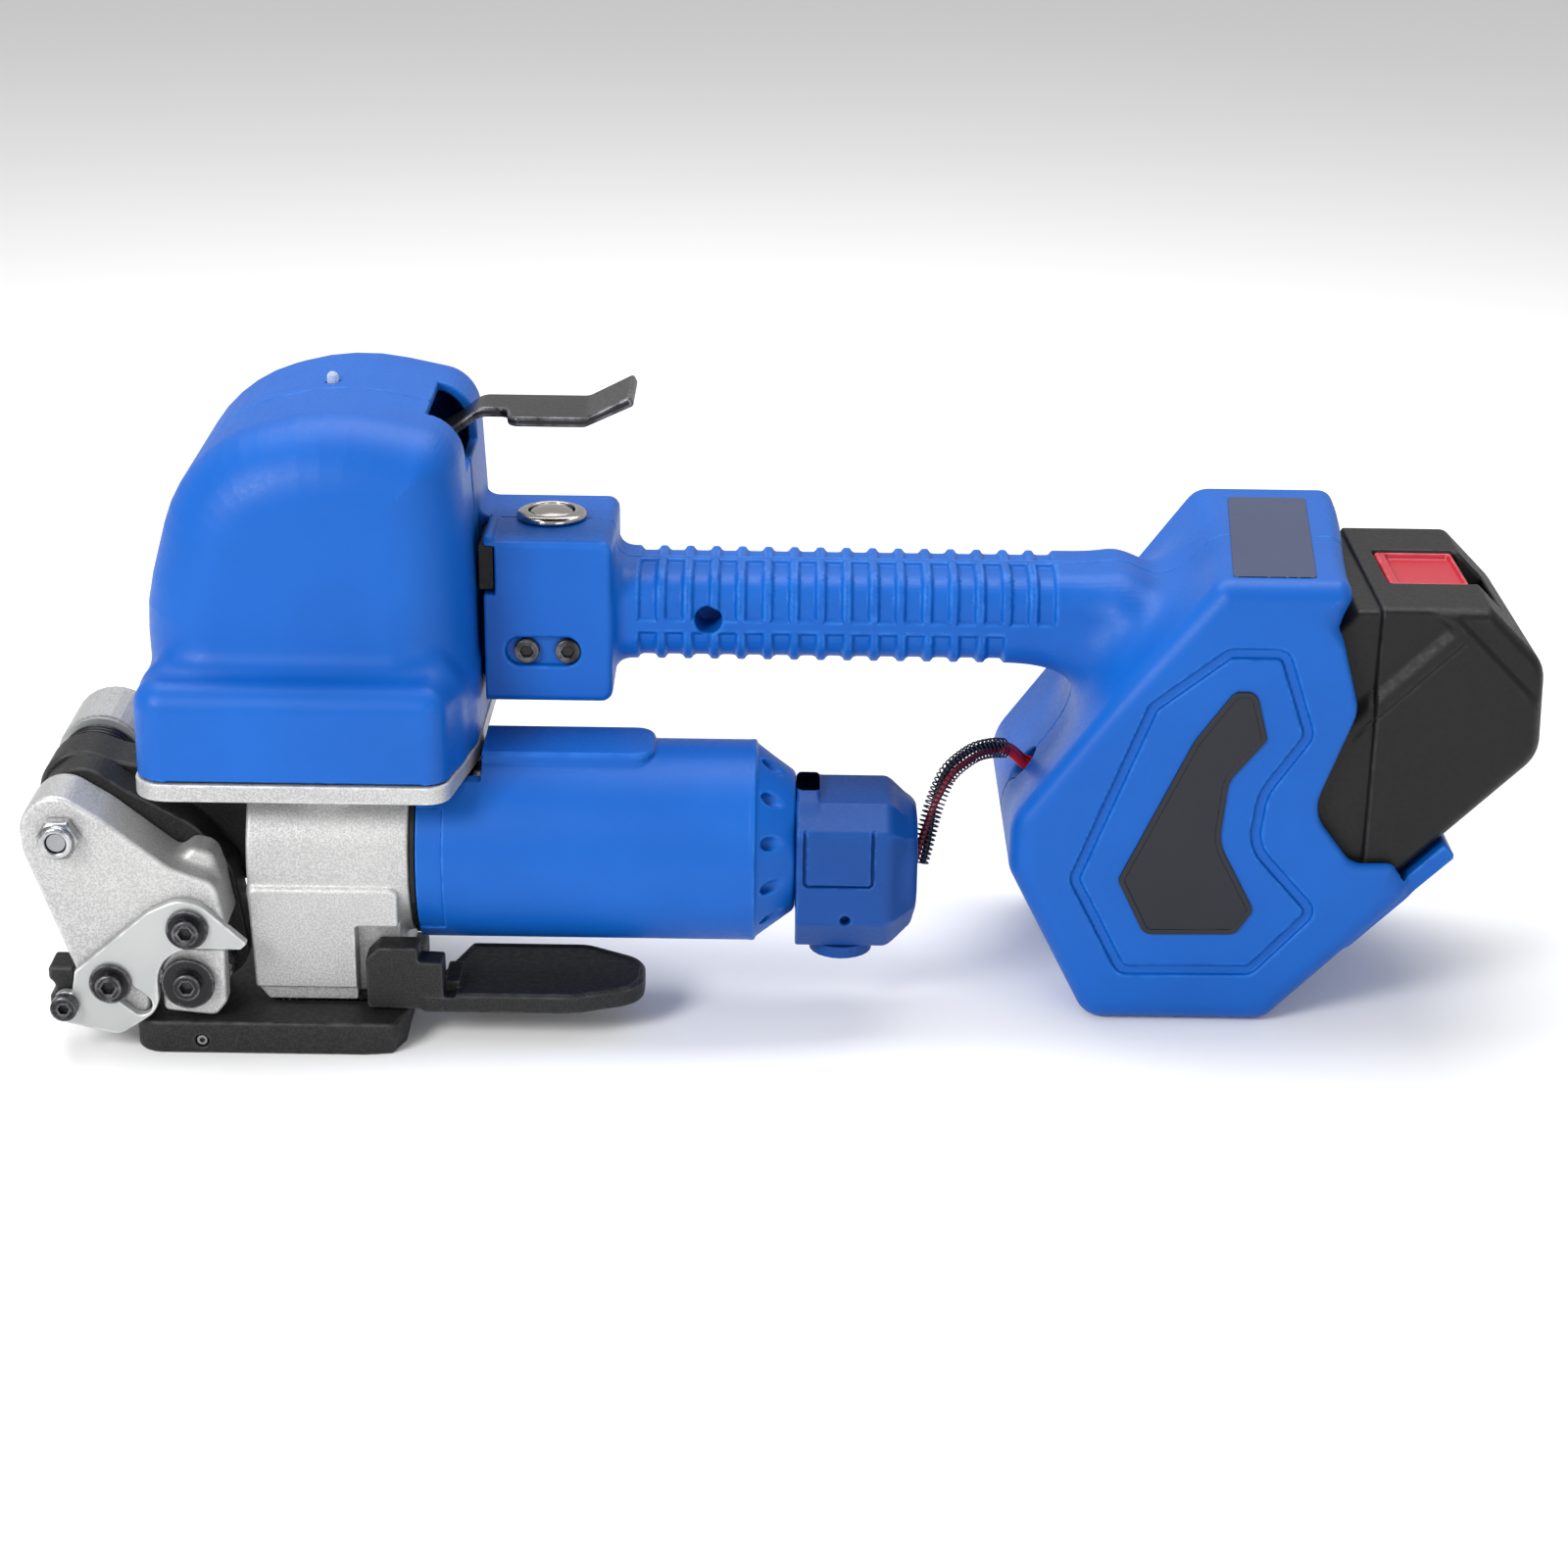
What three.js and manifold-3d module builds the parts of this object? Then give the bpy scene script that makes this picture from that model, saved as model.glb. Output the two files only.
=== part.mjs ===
// Battery strapping tool for plastic strap: a tension head with a friction-weld hood on the left,
// a ribbed handle in the middle, and a battery housing on the right. The motor barrel lies under the
// handle. Millimetres, +Z up, +X from the head to the battery, the operator's side towards -Y.
import * as THREE from "three";
import { mergeVertices } from "three/addons/utils/BufferGeometryUtils.js";
import { ConvexGeometry } from "three/addons/geometries/ConvexGeometry.js";
import Module from "manifold-3d";

const wasm = await Module();
wasm.setup();

// ---------------------------------------------------------------- driving dimensions
const GAP = 0.3; // clearance between two pieces that touch
const WALL = 2.4; // plastic shell thickness
const FAR = 400; // reaches past the whole tool
const ARC_STEP = Math.PI / 7; // turn of one facet on a rounded corner

const HOOD = {
  outline: [
    [-156, 30, 2],
    [-158.6, 108, 50],
    [-147, 147, 36],
    [-112, 157.5, 55],
    [-80, 151, 11],
    [-77.8, 112, 40],
    [-76.2, 30, 2],
  ],
  front: -47,
  seam: -7,
  back: 44,
  frontRound: 19,
  backRound: 19,
};
const SKIRT = {
  plan: [
    [-158, -60, 8],
    [-84, -60, 7],
    [-76, -46, 10],
    [-76, 39, 12],
    [-158, 39, 14],
  ],
  base: 71,
  top: 95,
  topRound: 7,
};
const PLATE = { base: 66, top: 70.7 };
const BLOCK = { left: -75.6, right: -43.5, base: 78.5, top: 120.8, half: 21, corner: 4 };
const GRIP = { left: -46, right: 64, base: 86.7, top: 110.8, half: 17, corner: 9 };
const HOUSING = {
  outline: [
    [78, 0, 7],
    [124, 0, 7],
    [160, 37, 4],
    [153, 45, 3],
    [143, 44.7, 6],
    [132, 59, 10],
    [141.5, 86, 10],
    [135.5, 107.5, 3],
    [140.5, 118.5, 4],
    [105.5, 118.5, 6],
    [79, 86, 6],
    [57, 56, 8],
    [57, 41, 8],
  ],
  half: 40.5,
  back: 43.5,
  round: 7,
};
const BATTERY = { x: 155, z: 39, tilt: 45, half: 37, end: 63.8, length: 108, height: 61.5 };
const MOTOR = { y: -28, z: 44.7, tubeRadius: 25.5, left: -91, coneStart: -7, right: 3, coneRadius: 17.5 };
const PIVOT = { x: -176, z: 57.5 };
const WHEEL = { x: -146.7, z: 18.8, radius: 9.6 };
const FOOT = { left: -160.8, right: -93, front: -64, back: -8, top: 8.6 };
const LED = { x: -114, z: 156.6 };
const BUTTON = { x: -59.8, radius: 8.9 };
const WELD_LEVER = { x: -96, z: 139 };
const ROCKER = { x: -98, z: 19.5 };

// ---------------------------------------------------------------- solids from three.js geometry
// A closed three.js geometry as a solid with its faces turned out.
function solid(geometry) {
  const bare = new THREE.BufferGeometry();
  bare.setAttribute("position", geometry.getAttribute("position"));
  if (geometry.index) bare.setIndex(geometry.index);
  const merged = mergeVertices(bare, 1e-4);
  const triVerts = new Uint32Array(merged.index.array);
  const vertProperties = merged.attributes.position.array;
  const made = new wasm.Manifold(new wasm.Mesh({ numProp: 3, vertProperties, triVerts }));
  if (made.volume() > 0) return made;
  return new wasm.Manifold(new wasm.Mesh({ numProp: 3, vertProperties, triVerts: triVerts.reverse() }));
}

function join(...solids) {
  return solids.reduce((whole, next) => whole.add(next));
}

function cut(body, ...tools) {
  return tools.reduce((left, tool) => left.subtract(tool), body);
}

function box(x0, x1, y0, y1, z0, z1) {
  const geometry = new THREE.BoxGeometry(x1 - x0, y1 - y0, z1 - z0);
  return solid(geometry.translate((x0 + x1) / 2, (y0 + y1) / 2, (z0 + z1) / 2));
}

// A cylinder or cone along one axis, from start to end, centred at (a, b) on the other two axes.
function cylinder(axis, radius, start, end, a, b, sides = 24, endRadius = radius) {
  const geometry = new THREE.CylinderGeometry(endRadius, radius, end - start, sides);
  const middle = (start + end) / 2;
  if (axis === "X") return solid(geometry.rotateZ(-Math.PI / 2).translate(middle, a, b));
  if (axis === "Y") return solid(geometry.translate(a, middle, b));
  return solid(geometry.rotateX(Math.PI / 2).translate(a, b, middle));
}

function hexPrism(axis, acrossFlats, start, end, a, b) {
  return cylinder(axis, acrossFlats / Math.sqrt(3), start, end, a, b, 6);
}

const leftNormal = (v) => new THREE.Vector2(-v.y, v.x);

// Points of a closed outline with rounded corners, every edge moved inwards by inset.
function outline(corners, inset = 0) {
  const raw = corners.map(([u, v]) => new THREE.Vector2(u, v));
  const turn = Math.sign(THREE.ShapeUtils.area(raw));
  const count = raw.length;
  const heading = raw.map((p, i) => raw[(i + 1) % count].clone().sub(p).normalize());
  const points = [];
  raw.forEach((corner, i) => {
    const before = heading[(i + count - 1) % count];
    const after = heading[i];
    const inward = leftNormal(before).multiplyScalar(turn);
    const inwardAfter = leftNormal(after).multiplyScalar(turn);
    const shift = inward.clone().add(inwardAfter).multiplyScalar(inset / (1 + inward.dot(inwardAfter)));
    const moved = corner.clone().add(shift);
    const bend = Math.atan2(before.cross(after), before.dot(after));
    const outside = Math.sign(bend) === turn;
    const radius = Math.max(corners[i][2] + (outside ? -inset : inset), 0.25);
    const reach = radius * Math.tan(Math.abs(bend) / 2);
    const start = moved.clone().addScaledVector(before, -reach);
    const centre = start.clone().addScaledVector(leftNormal(before), Math.sign(bend) * radius);
    const steps = Math.max(1, Math.round(Math.abs(bend) / ARC_STEP));
    for (let k = 0; k <= steps; k++) {
      points.push(start.clone().rotateAround(centre, (bend * k) / steps));
    }
  });
  return turn > 0 ? points : points.reverse();
}

// Where an outline's (u, v) and its depth w lie in space, for outlines drawn in three planes.
const PLANES = {
  XZ: (u, v, w) => [u, w, v],
  XY: (u, v, w) => [u, v, w],
  YZ: (u, v, w) => [w, u, v],
};

// A solid through equal-length rings of [u, v, w], closed by flat caps.
function loft(rings, plane) {
  const count = rings[0].length;
  const positions = rings.flat().flatMap(([u, v, w]) => PLANES[plane](u, v, w));
  const index = [];
  for (let r = 0; r + 1 < rings.length; r++) {
    for (let i = 0; i < count; i++) {
      const a = r * count + i;
      const b = r * count + ((i + 1) % count);
      index.push(a, b, b + count, a, b + count, a + count);
    }
  }
  const last = (rings.length - 1) * count;
  const flat = (ring) => ring.map(([u, v]) => new THREE.Vector2(u, v));
  for (const [a, b, c] of THREE.ShapeUtils.triangulateShape(flat(rings[0]), [])) index.push(a, c, b);
  for (const [a, b, c] of THREE.ShapeUtils.triangulateShape(flat(rings.at(-1)), [])) {
    index.push(last + a, last + b, last + c);
  }
  const geometry = new THREE.BufferGeometry();
  geometry.setAttribute("position", new THREE.Float32BufferAttribute(positions, 3));
  geometry.setIndex(index);
  return solid(geometry);
}

// An outline given depth from low to high, with quarter-round edges at either end.
function cushion(plane, corners, low, high, { lowRound = 0, highRound = 0, steps = 3, inset = 0 } = {}) {
  const levels = [];
  const quarter = (round, place) => {
    if (round <= 0) return [[place(0), 0]];
    return Array.from({ length: steps + 1 }, (_, k) => {
      const angle = ((k / steps) * Math.PI) / 2;
      return [place(round * (1 - Math.cos(angle))), round * (1 - Math.sin(angle))];
    });
  };
  levels.push(...quarter(lowRound, (d) => low + d));
  levels.push(...quarter(highRound, (d) => high - d).reverse());
  const rings = levels.map(([w, in2]) => outline(corners, inset + in2).map((p) => [p.x, p.y, w]));
  return loft(rings, plane);
}

const frontOf = (y) => box(-FAR, FAR, -FAR, y, -FAR, FAR);
const behind = (y) => box(-FAR, FAR, y, FAR, -FAR, FAR);
const rectangle = (u0, u1, v0, v1, r) => [
  [u0, v0, r],
  [u1, v0, r],
  [u1, v1, r],
  [u0, v1, r],
];

// ---------------------------------------------------------------- materials
const paint = (color, roughness, metalness) =>
  new THREE.MeshStandardMaterial({ color, roughness, metalness });
const MATERIALS = {
  blue: () => paint(0x0a5fd7, 0.45, 0),
  casting: () => paint(0xb9babb, 0.55, 0.8),
  plate: () => paint(0xc8cac9, 0.4, 0.7),
  blackMetal: () => paint(0x2b2b2d, 0.5, 0.6),
  blackPlastic: () => paint(0x1d1d1f, 0.7, 0),
  steel: () => paint(0xa7a9ab, 0.3, 1),
  chrome: () => paint(0xd6d8da, 0.12, 1),
  red: () => paint(0xc8283a, 0.4, 0),
  clear: () => paint(0xe6eef5, 0.1, 0),
  board: () => paint(0x1f5b36, 0.6, 0),
  copper: () => paint(0xa9714a, 0.4, 1),
};

const tool = new THREE.Group();

// Adds one named mesh made of a solid to a group, in a material of its own.
function piece(group, name, body, material) {
  const { vertProperties, triVerts, numProp } = body.getMesh();
  const geometry = new THREE.BufferGeometry();
  geometry.setAttribute("position", new THREE.BufferAttribute(new Float32Array(vertProperties), numProp));
  geometry.setIndex(new THREE.BufferAttribute(new Uint32Array(triVerts), 1));
  const mesh = new THREE.Mesh(geometry, MATERIALS[material]());
  mesh.name = name;
  group.add(mesh);
  return mesh;
}

function subgroup() {
  const group = new THREE.Group();
  tool.add(group);
  return group;
}

// ---------------------------------------------------------------- battery frame
// The battery slides along its own X axis, which rises at BATTERY.tilt; its own Z axis points to the dock.
const batteryFrame = new THREE.Matrix4()
  .makeTranslation(BATTERY.x, 0, BATTERY.z)
  .multiply(new THREE.Matrix4().makeRotationY(-THREE.MathUtils.degToRad(BATTERY.tilt)));

function batteryTunnel() {
  const deep = BATTERY.length - BATTERY.end + 3;
  const long = deep + 140;
  const high = BATTERY.height + 1.6;
  const geometry = new THREE.BoxGeometry(long, 2 * BATTERY.half + 1.4, high);
  geometry.translate(long / 2 - deep, 0, high / 2 - 0.8);
  return solid(geometry.applyMatrix4(batteryFrame));
}

// ---------------------------------------------------------------- blue shells
function hoodBody(inset) {
  const dome = cushion("XZ", HOOD.outline, HOOD.front + inset, HOOD.back - inset, {
    lowRound: HOOD.frontRound - inset,
    highRound: HOOD.backRound - inset,
    inset,
  });
  const skirt = cushion("XY", SKIRT.plan, SKIRT.base, SKIRT.top - inset, {
    highRound: SKIRT.topRound - inset,
    inset,
  });
  return join(dome.intersect(box(-FAR, FAR, -FAR, FAR, SKIRT.base, FAR)), skirt);
}

function handleBody(inset) {
  const block = cushion(
    "XZ",
    rectangle(BLOCK.left - 6, BLOCK.right, BLOCK.base, BLOCK.top, BLOCK.corner),
    -BLOCK.half + inset,
    BLOCK.half - inset,
    { lowRound: 2.5, highRound: 2.5, steps: 1, inset },
  );
  const section = rectangle(-GRIP.half, GRIP.half, GRIP.base, GRIP.top, GRIP.corner);
  const grip = cushion("YZ", section, GRIP.left, GRIP.right, { inset });
  const housing = cushion("XZ", HOUSING.outline, -HOUSING.half + inset, HOUSING.back - inset, {
    lowRound: HOUSING.round - inset,
    highRound: HOUSING.round - inset,
    inset,
  });
  const whole = join(block, grip, neck(inset), housing);
  return inset > 0 ? whole : join(whole, batteryCradle());
}

// The sloping floor that carries the battery's nose where it leaves the housing.
function batteryCradle() {
  const side = [
    [143, 19.8, 1],
    [169.5, 45.8, 1],
    [166.8, 49.6, 1],
    [143, 27, 1],
  ];
  return cushion("XZ", side, -36.5, 36.5, { lowRound: 1, highRound: 1, steps: 1 });
}

// The neck widens from the grip's section to the slanted shoulder of the housing.
function neck(inset) {
  const section = outline(rectangle(-GRIP.half, GRIP.half, GRIP.base, GRIP.top, GRIP.corner), inset);
  const points = section.map((p) => new THREE.Vector3(GRIP.right - 6, p.x, p.y));
  const wide = HOUSING.half - 1 - inset;
  for (const side of [-1, 1]) {
    points.push(new THREE.Vector3(104, side * (wide - 3), 118.5 - inset));
    points.push(new THREE.Vector3(107, side * wide, 112));
    points.push(new THREE.Vector3(66 + inset, side * (wide - 4), 66));
    points.push(new THREE.Vector3(74, side * wide, 72));
  }
  return solid(new ConvexGeometry(points));
}

const leverSlot = () => box(-89, -70, -19, 11.5, 138, 160);

function buildShells() {
  const shells = subgroup();
  const hoodOuter = hoodBody(0);
  const hoodInner = join(hoodBody(WALL), box(-154, -80, -55, 34, 60, 80));
  const handleOuter = handleBody(0);
  const handleInner = handleBody(WALL);
  const buttonHole = cylinder("Z", BUTTON.radius - 1.4, BLOCK.top - 8, BLOCK.top + 8, BUTTON.x, 0);
  const leadHole = cylinder("X", 4.2, 40, 75, 0, 55.5, 16);
  const ledHole = cylinder("Z", 1.9, 150, 160, LED.x, 0, 12);
  const tunnel = batteryTunnel();
  const cover = cut(hoodOuter, hoodInner, leverSlot()).intersect(frontOf(HOOD.seam - GAP / 2));
  piece(shells, "hood_front_cover", cover, "blue");

  const rearHood = hoodOuter.intersect(behind(HOOD.seam + GAP / 2));
  const rear = cut(join(rearHood, handleOuter.intersect(behind(GAP / 2))), hoodInner, handleInner);
  piece(shells, "rear_shell", cut(rear, leverSlot(), buttonHole, leadHole, ledHole, tunnel), "blue");

  const pastHood = box(BLOCK.left, FAR, -FAR, -GAP / 2, -FAR, FAR);
  const screwHoles = BLOCK_SCREWS.map((x) => cylinder("Y", 2.1, -30, -10, x, 92, 12));
  const front = cut(handleOuter, handleInner, buttonHole, leadHole, tunnel, ...screwHoles);
  piece(shells, "front_shell", front.intersect(pastHood), "blue");

  piece(shells, "nameplate", nameplate(), "blackPlastic");
  piece(shells, "status_led", ledLens(), "clear");
}

// A dark plate on the housing's front face, its lower right side hollowed by a round bay.
function nameplate() {
  const corners = [
    [115.8, 91.2, 3],
    [119.2, 78.6, 2],
    [110.4, 67.5, 7],
    [109, 51, 12],
    [118.8, 32.6, 2.5],
    [114.5, 25.9, 3],
    [91.5, 25.6, 3],
    [84.2, 40.4, 2.5],
    [101.2, 78, 5],
    [110.4, 91.2, 3],
  ];
  const face = -HOUSING.half - GAP;
  return cushion("XZ", corners, face - 0.8, face);
}

function ledLens() {
  const stem = cylinder("Z", 1.5, LED.z - 6, LED.z, LED.x, 0, 12);
  const dome = solid(new THREE.SphereGeometry(1.5, 10, 6).translate(LED.x, 0, LED.z));
  return join(stem, dome);
}

// ---------------------------------------------------------------- handle controls
const BLOCK_SCREWS = [-65.1, -54.8];

// A socket-head screw whose head faces -Y.
function socketScrew(x, z, headBack, head, stem, hex) {
  const top = headBack - head.height;
  const body = join(
    cylinder("Y", head.radius, top, headBack, x, z, 20),
    cylinder("Y", stem.radius, headBack, headBack + stem.length, x, z, 12),
  );
  return cut(body, hexPrism("Y", hex, top - 1, top + head.height * 0.55, x, z));
}

function buildHandleControls() {
  const controls = subgroup();
  const seat = BLOCK.top + GAP;
  const bezel = cut(
    join(
      cylinder("Z", BUTTON.radius, seat, seat + 2, BUTTON.x, 0, 32, BUTTON.radius - 0.8),
      cylinder("Z", BUTTON.radius - 1.7, seat - 9, seat, BUTTON.x, 0, 24),
    ),
    cylinder("Z", 5.9, seat - 10, seat + 4, BUTTON.x, 0, 24),
  );
  piece(controls, "button_bezel", bezel, "chrome");
  const cap = join(
    cylinder("Z", 5.6, seat - 4, seat + 1.6, BUTTON.x, 0, 24),
    cylinder("Z", 5.6, seat + 1.6, seat + 2.4, BUTTON.x, 0, 24, 4.6),
  );
  piece(controls, "button_cap", cap, "steel");
  const body = join(
    cylinder("Z", 7.2, seat - 24, seat - 9.3, BUTTON.x, 0, 16),
    box(BUTTON.x - 3, BUTTON.x + 3, -1, 1, seat - 29, seat - 24),
  );
  piece(controls, "switch_body", body, "blackPlastic");
  BLOCK_SCREWS.forEach((x, i) => {
    const screw = socketScrew(x, 92, -BLOCK.half - GAP, { radius: 3.4, height: 1.5 }, { radius: 1.8, length: 9 }, 3);
    piece(controls, `block_screw_${i + 1}`, screw, "blackMetal");
  });
}

// ---------------------------------------------------------------- head castings
function buildHead() {
  const head = subgroup();
  const plan = SKIRT.plan.map(([x, y, r]) => [x + (x < -100 ? -0.4 : 0.4), y + (y < 0 ? -0.6 : 0.6), r]);
  const shaftHole = cylinder("Z", 9, 60, 80, -113.6, MOTOR.y, 24);
  piece(head, "head_plate", cut(cushion("XY", plan, PLATE.base, PLATE.top), shaftHole), "casting");
  piece(head, "gearbox_housing", gearboxHousing(), "casting");
  piece(head, "base_foot", baseFoot(), "blackMetal");
  const grub = cylinder("Y", 1.3, FOOT.front + 0.6, FOOT.front + 6, -144, 3.4, 12);
  piece(head, "foot_grub_screw", cut(grub, hexPrism("Y", 1.3, -65, FOOT.front + 2.5, -144, 3.4)), "steel");
  piece(head, "weld_jaw", weldJaw(), "blackMetal");
  piece(head, "strap_anvil", toothedBar(-127, -105, -50, -38, FOOT.top - 2.4, FOOT.top - 0.6, 1), "steel");
  piece(head, "worm_housing", wormHousing(), "blackMetal");
  piece(head, "barrel_seal", barrelSeal(), "blackPlastic");
}

function gearboxHousing() {
  const left = -133;
  const right = -92.6;
  const barrel = cylinder("X", 24, left, right, MOTOR.y, MOTOR.z, 36);
  const boss = cylinder("Z", 18.5, MOTOR.z, PLATE.base - GAP, -113.6, MOTOR.y, 32);
  const block = cushion("XZ", [
    [-131.5, 12.4, 1],
    [-128, 11, 1],
    [-104, 11, 1],
    [-95.6, 14, 1],
    [-95.6, 40, 2],
    [-133, 40, 2],
  ], -53, -14);
  const frame = box(-131, -96, -33, -10, FOOT.top + GAP, 40);
  const body = join(barrel, boss, block, frame);
  const bore = cylinder("X", 20, left + 4, right + 1, MOTOR.y, MOTOR.z, 32);
  const wormHole = cylinder("X", 5, left - 1, left + 6, MOTOR.y, MOTOR.z, 16);
  const weldShaftHole = cylinder("Z", 9, MOTOR.z, 80, -113.6, MOTOR.y, 24);
  const rockerPocket = box(-106.3, -90, -60, -48.2, 5, 30);
  const rockerPinHole = cylinder("Y", 2.3, -52, -36, ROCKER.x, ROCKER.z, 16);
  const armClearance = box(-140, -129.8, -46.4, -33.8, 4, 48);
  return cut(body, bore, wormHole, weldShaftHole, rockerPocket, rockerPinHole, armClearance, underPlate());
}

// The flat seat that the head plate rests on.
function underPlate() {
  return box(-FAR, -75.4, -FAR, FAR, PLATE.base - GAP, FAR);
}

function baseFoot() {
  const plan = [
    [FOOT.left, FOOT.front, 7],
    [FOOT.right - 3, FOOT.front, 2],
    [FOOT.right, FOOT.front + 8, 3],
    [FOOT.right, FOOT.back, 2],
    [FOOT.left + 18, FOOT.back, 6],
    [FOOT.left, FOOT.back - 22, 6],
  ];
  const body = cushion("XY", plan, 0, FOOT.top, { highRound: 1, steps: 1 });
  const anvilPocket = box(-127.5, -104.5, -50.5, -37.5, FOOT.top - 3, FOOT.top + 2);
  const grubHole = cylinder("Y", 1.7, FOOT.front - 1, FOOT.front + 8, -144, 3.4, 12);
  return cut(body, anvilPocket, grubHole);
}

// A bar with saw teeth on its upper (+1) or lower (-1) face, the teeth running along Y.
function toothedBar(x0, x1, y0, y1, z0, z1, side) {
  const teeth = 14;
  const pitch = (x1 - x0) / teeth;
  const depth = 0.5;
  const toothed = side > 0 ? z1 : z0;
  const smooth = side > 0 ? z0 : z1;
  const shape = new THREE.Shape().moveTo(x0, smooth).lineTo(x1, smooth).lineTo(x1, toothed);
  for (let i = teeth; i > 0; i--) {
    shape.lineTo(x0 + (i - 0.5) * pitch, toothed - side * depth);
    shape.lineTo(x0 + (i - 1) * pitch, toothed);
  }
  const geometry = new THREE.ExtrudeGeometry(shape, { depth: y1 - y0, bevelEnabled: false });
  return solid(geometry.rotateX(Math.PI / 2).translate(0, y1, 0));
}

function weldJaw() {
  return toothedBar(-128, -104, -51.5, -35.5, 9.2, 10.7, -1);
}

// The case of the worm drive, fixed to the gearbox behind the swinging arm.
function wormHousing() {
  const outer = join(
    cylinder("Y", 11, -34, -20, PIVOT.x, PIVOT.z, 28),
    cushion("XZ", [
      [-184, 38, 4],
      [-133.4, 34, 3],
      [-133.4, 55, 3],
      [-160, 65, 4],
      [-178, 68, 4],
    ], -34, -20),
  );
  const wheelRoom = cylinder("Y", 9.2, -32.3, -21.7, PIVOT.x, PIVOT.z, 24);
  const shaftHole = cylinder("Y", 3.4, -40, -10, PIVOT.x, PIVOT.z, 16);
  const wormRoom = cylinder("X", 5, -182, -130, MOTOR.y, MOTOR.z, 16);
  return cut(outer, wheelRoom, shaftHole, wormRoom);
}

function barrelSeal() {
  const ring = cylinder("X", 24.6, -92.3, -91.3, MOTOR.y, MOTOR.z, 36);
  return cut(ring, cylinder("X", 21, -95, -90, MOTOR.y, MOTOR.z, 32), underPlate());
}

// ---------------------------------------------------------------- motor barrel and drive
const CAP = { left: 3.3, right: 33, base: 19.6, top: 59, half: 18.5, y: -28 };

function buildDrive() {
  const drive = subgroup();
  piece(drive, "motor_tube", motorTube(), "blue");
  piece(drive, "motor_end_cap", endCap(), "blue");
  piece(drive, "end_cap_panel", capPanel(), "blue");
  piece(drive, "end_cap_plug", cylinder("Z", 8, CAP.base - 3.3, CAP.base - GAP, 15, -30, 24), "blue");
  const motor = join(
    cylinder("X", 17.5, -70, -12, MOTOR.y, MOTOR.z, 24),
    cylinder("X", 6, -12, -8, MOTOR.y, MOTOR.z, 16),
    cylinder("X", 20.5, -78, -70, MOTOR.y, MOTOR.z, 24),
  );
  const motorBore = cylinder("X", 3.3, -80, -40, MOTOR.y, MOTOR.z, 12);
  piece(drive, "tension_motor", cut(motor, motorBore), "steel");
  piece(drive, "drive_worm", driveWorm(), "steel");
  piece(drive, "worm_wheel", wormWheel(), "copper");
  piece(drive, "weld_motor", weldMotor(), "steel");
  piece(drive, "weld_eccentric", weldEccentric(), "steel");
  piece(drive, "control_board", box(-150, -84, 18, 19.6, 76, 128), "board");
  piece(drive, "motor_lead_guard", leadGuard(), "blackMetal");
  [-1, 1].forEach((side, i) => {
    const sleeve = cylinder("X", 1.3, 55, 64, side * 1.7, 56.2 + side * 0.4, 10);
    piece(drive, `lead_sleeve_${i + 1}`, sleeve, "red");
  });
}

function motorTube() {
  const { y, z, tubeRadius, left, coneStart, right, coneRadius } = MOTOR;
  const outer = join(
    cylinder("X", tubeRadius, left, coneStart, y, z, 40),
    cylinder("X", tubeRadius, coneStart, right, y, z, 40, coneRadius),
    cushion("XY", [[-75, -38, 1], [-34, -38, 3], [-34, -18, 3], [-75, -18, 1]], z, z + tubeRadius + 0.9),
  );
  const inner = join(
    cylinder("X", tubeRadius - 2.5, left - 1, coneStart, y, z, 32),
    cylinder("X", tubeRadius - 2.5, coneStart, right - 2.5, y, z, 32, coneRadius - 2.5),
    cylinder("X", 12, right - 6, right + 2, y, z, 24),
  );
  return cut(outer, inner, underPlate());
}

function capSection(inset) {
  const { y, half, base, top } = CAP;
  return outline([
    [y - half, base + 10, 1],
    [y - half + 9, base, 1],
    [y + half - 9, base, 1],
    [y + half, base + 10, 1],
    [y + half, top - 5, 1],
    [y + half - 9, top, 1],
    [y - half + 9, top, 1],
    [y - half, top - 5, 1],
  ], inset);
}

function endCap() {
  const ring = (x, inset) => capSection(inset).map((p) => [p.x, p.y, x]);
  const outer = loft([ring(CAP.left, 0), ring(CAP.right - 5, 0), ring(CAP.right, 6)], "YZ");
  const inner = loft([ring(CAP.left - 1, WALL), ring(CAP.right - 5 - WALL, WALL), ring(CAP.right - WALL, 8)], "YZ");
  const nub = cylinder("X", 5, CAP.right - 3, CAP.right + 1, -27, 38, 16);
  const nubHole = cylinder("X", 2.2, 20, 50, -27, 38, 12);
  return cut(join(cut(outer, inner), nub), nubHole);
}

// A flush cover over the brushes, on the front of the cap.
function capPanel() {
  const face = CAP.y - CAP.half - GAP;
  return cushion("XZ", rectangle(5.8, 22, 40.5, 52.5, 1.5), face - 0.7, face);
}

function driveWorm() {
  const shaft = cylinder("X", 2.9, -182, -62, MOTOR.y, MOTOR.z, 12);
  const worm = cylinder("X", 4, -181, -168, MOTOR.y, MOTOR.z, 16);
  const collar = cylinder("X", 11, -126, -96, MOTOR.y, MOTOR.z, 24);
  return join(shaft, worm, collar);
}

function toothedDisc(radius, teeth, depth, y0, y1, x, z, bore) {
  const shape = new THREE.Shape();
  for (let i = 0; i < 2 * teeth; i++) {
    const angle = (i * Math.PI) / teeth;
    const r = i % 2 ? radius : radius - depth;
    const u = x + r * Math.cos(angle);
    const v = z + r * Math.sin(angle);
    if (i) shape.lineTo(u, v);
    else shape.moveTo(u, v);
  }
  const geometry = new THREE.ExtrudeGeometry(shape, { depth: y1 - y0, bevelEnabled: false });
  const disc = solid(geometry.rotateX(Math.PI / 2).translate(0, y1, 0));
  return bore ? cut(disc, cylinder("Y", bore, y0 - 1, y1 + 1, x, z, 16)) : disc;
}

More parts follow.
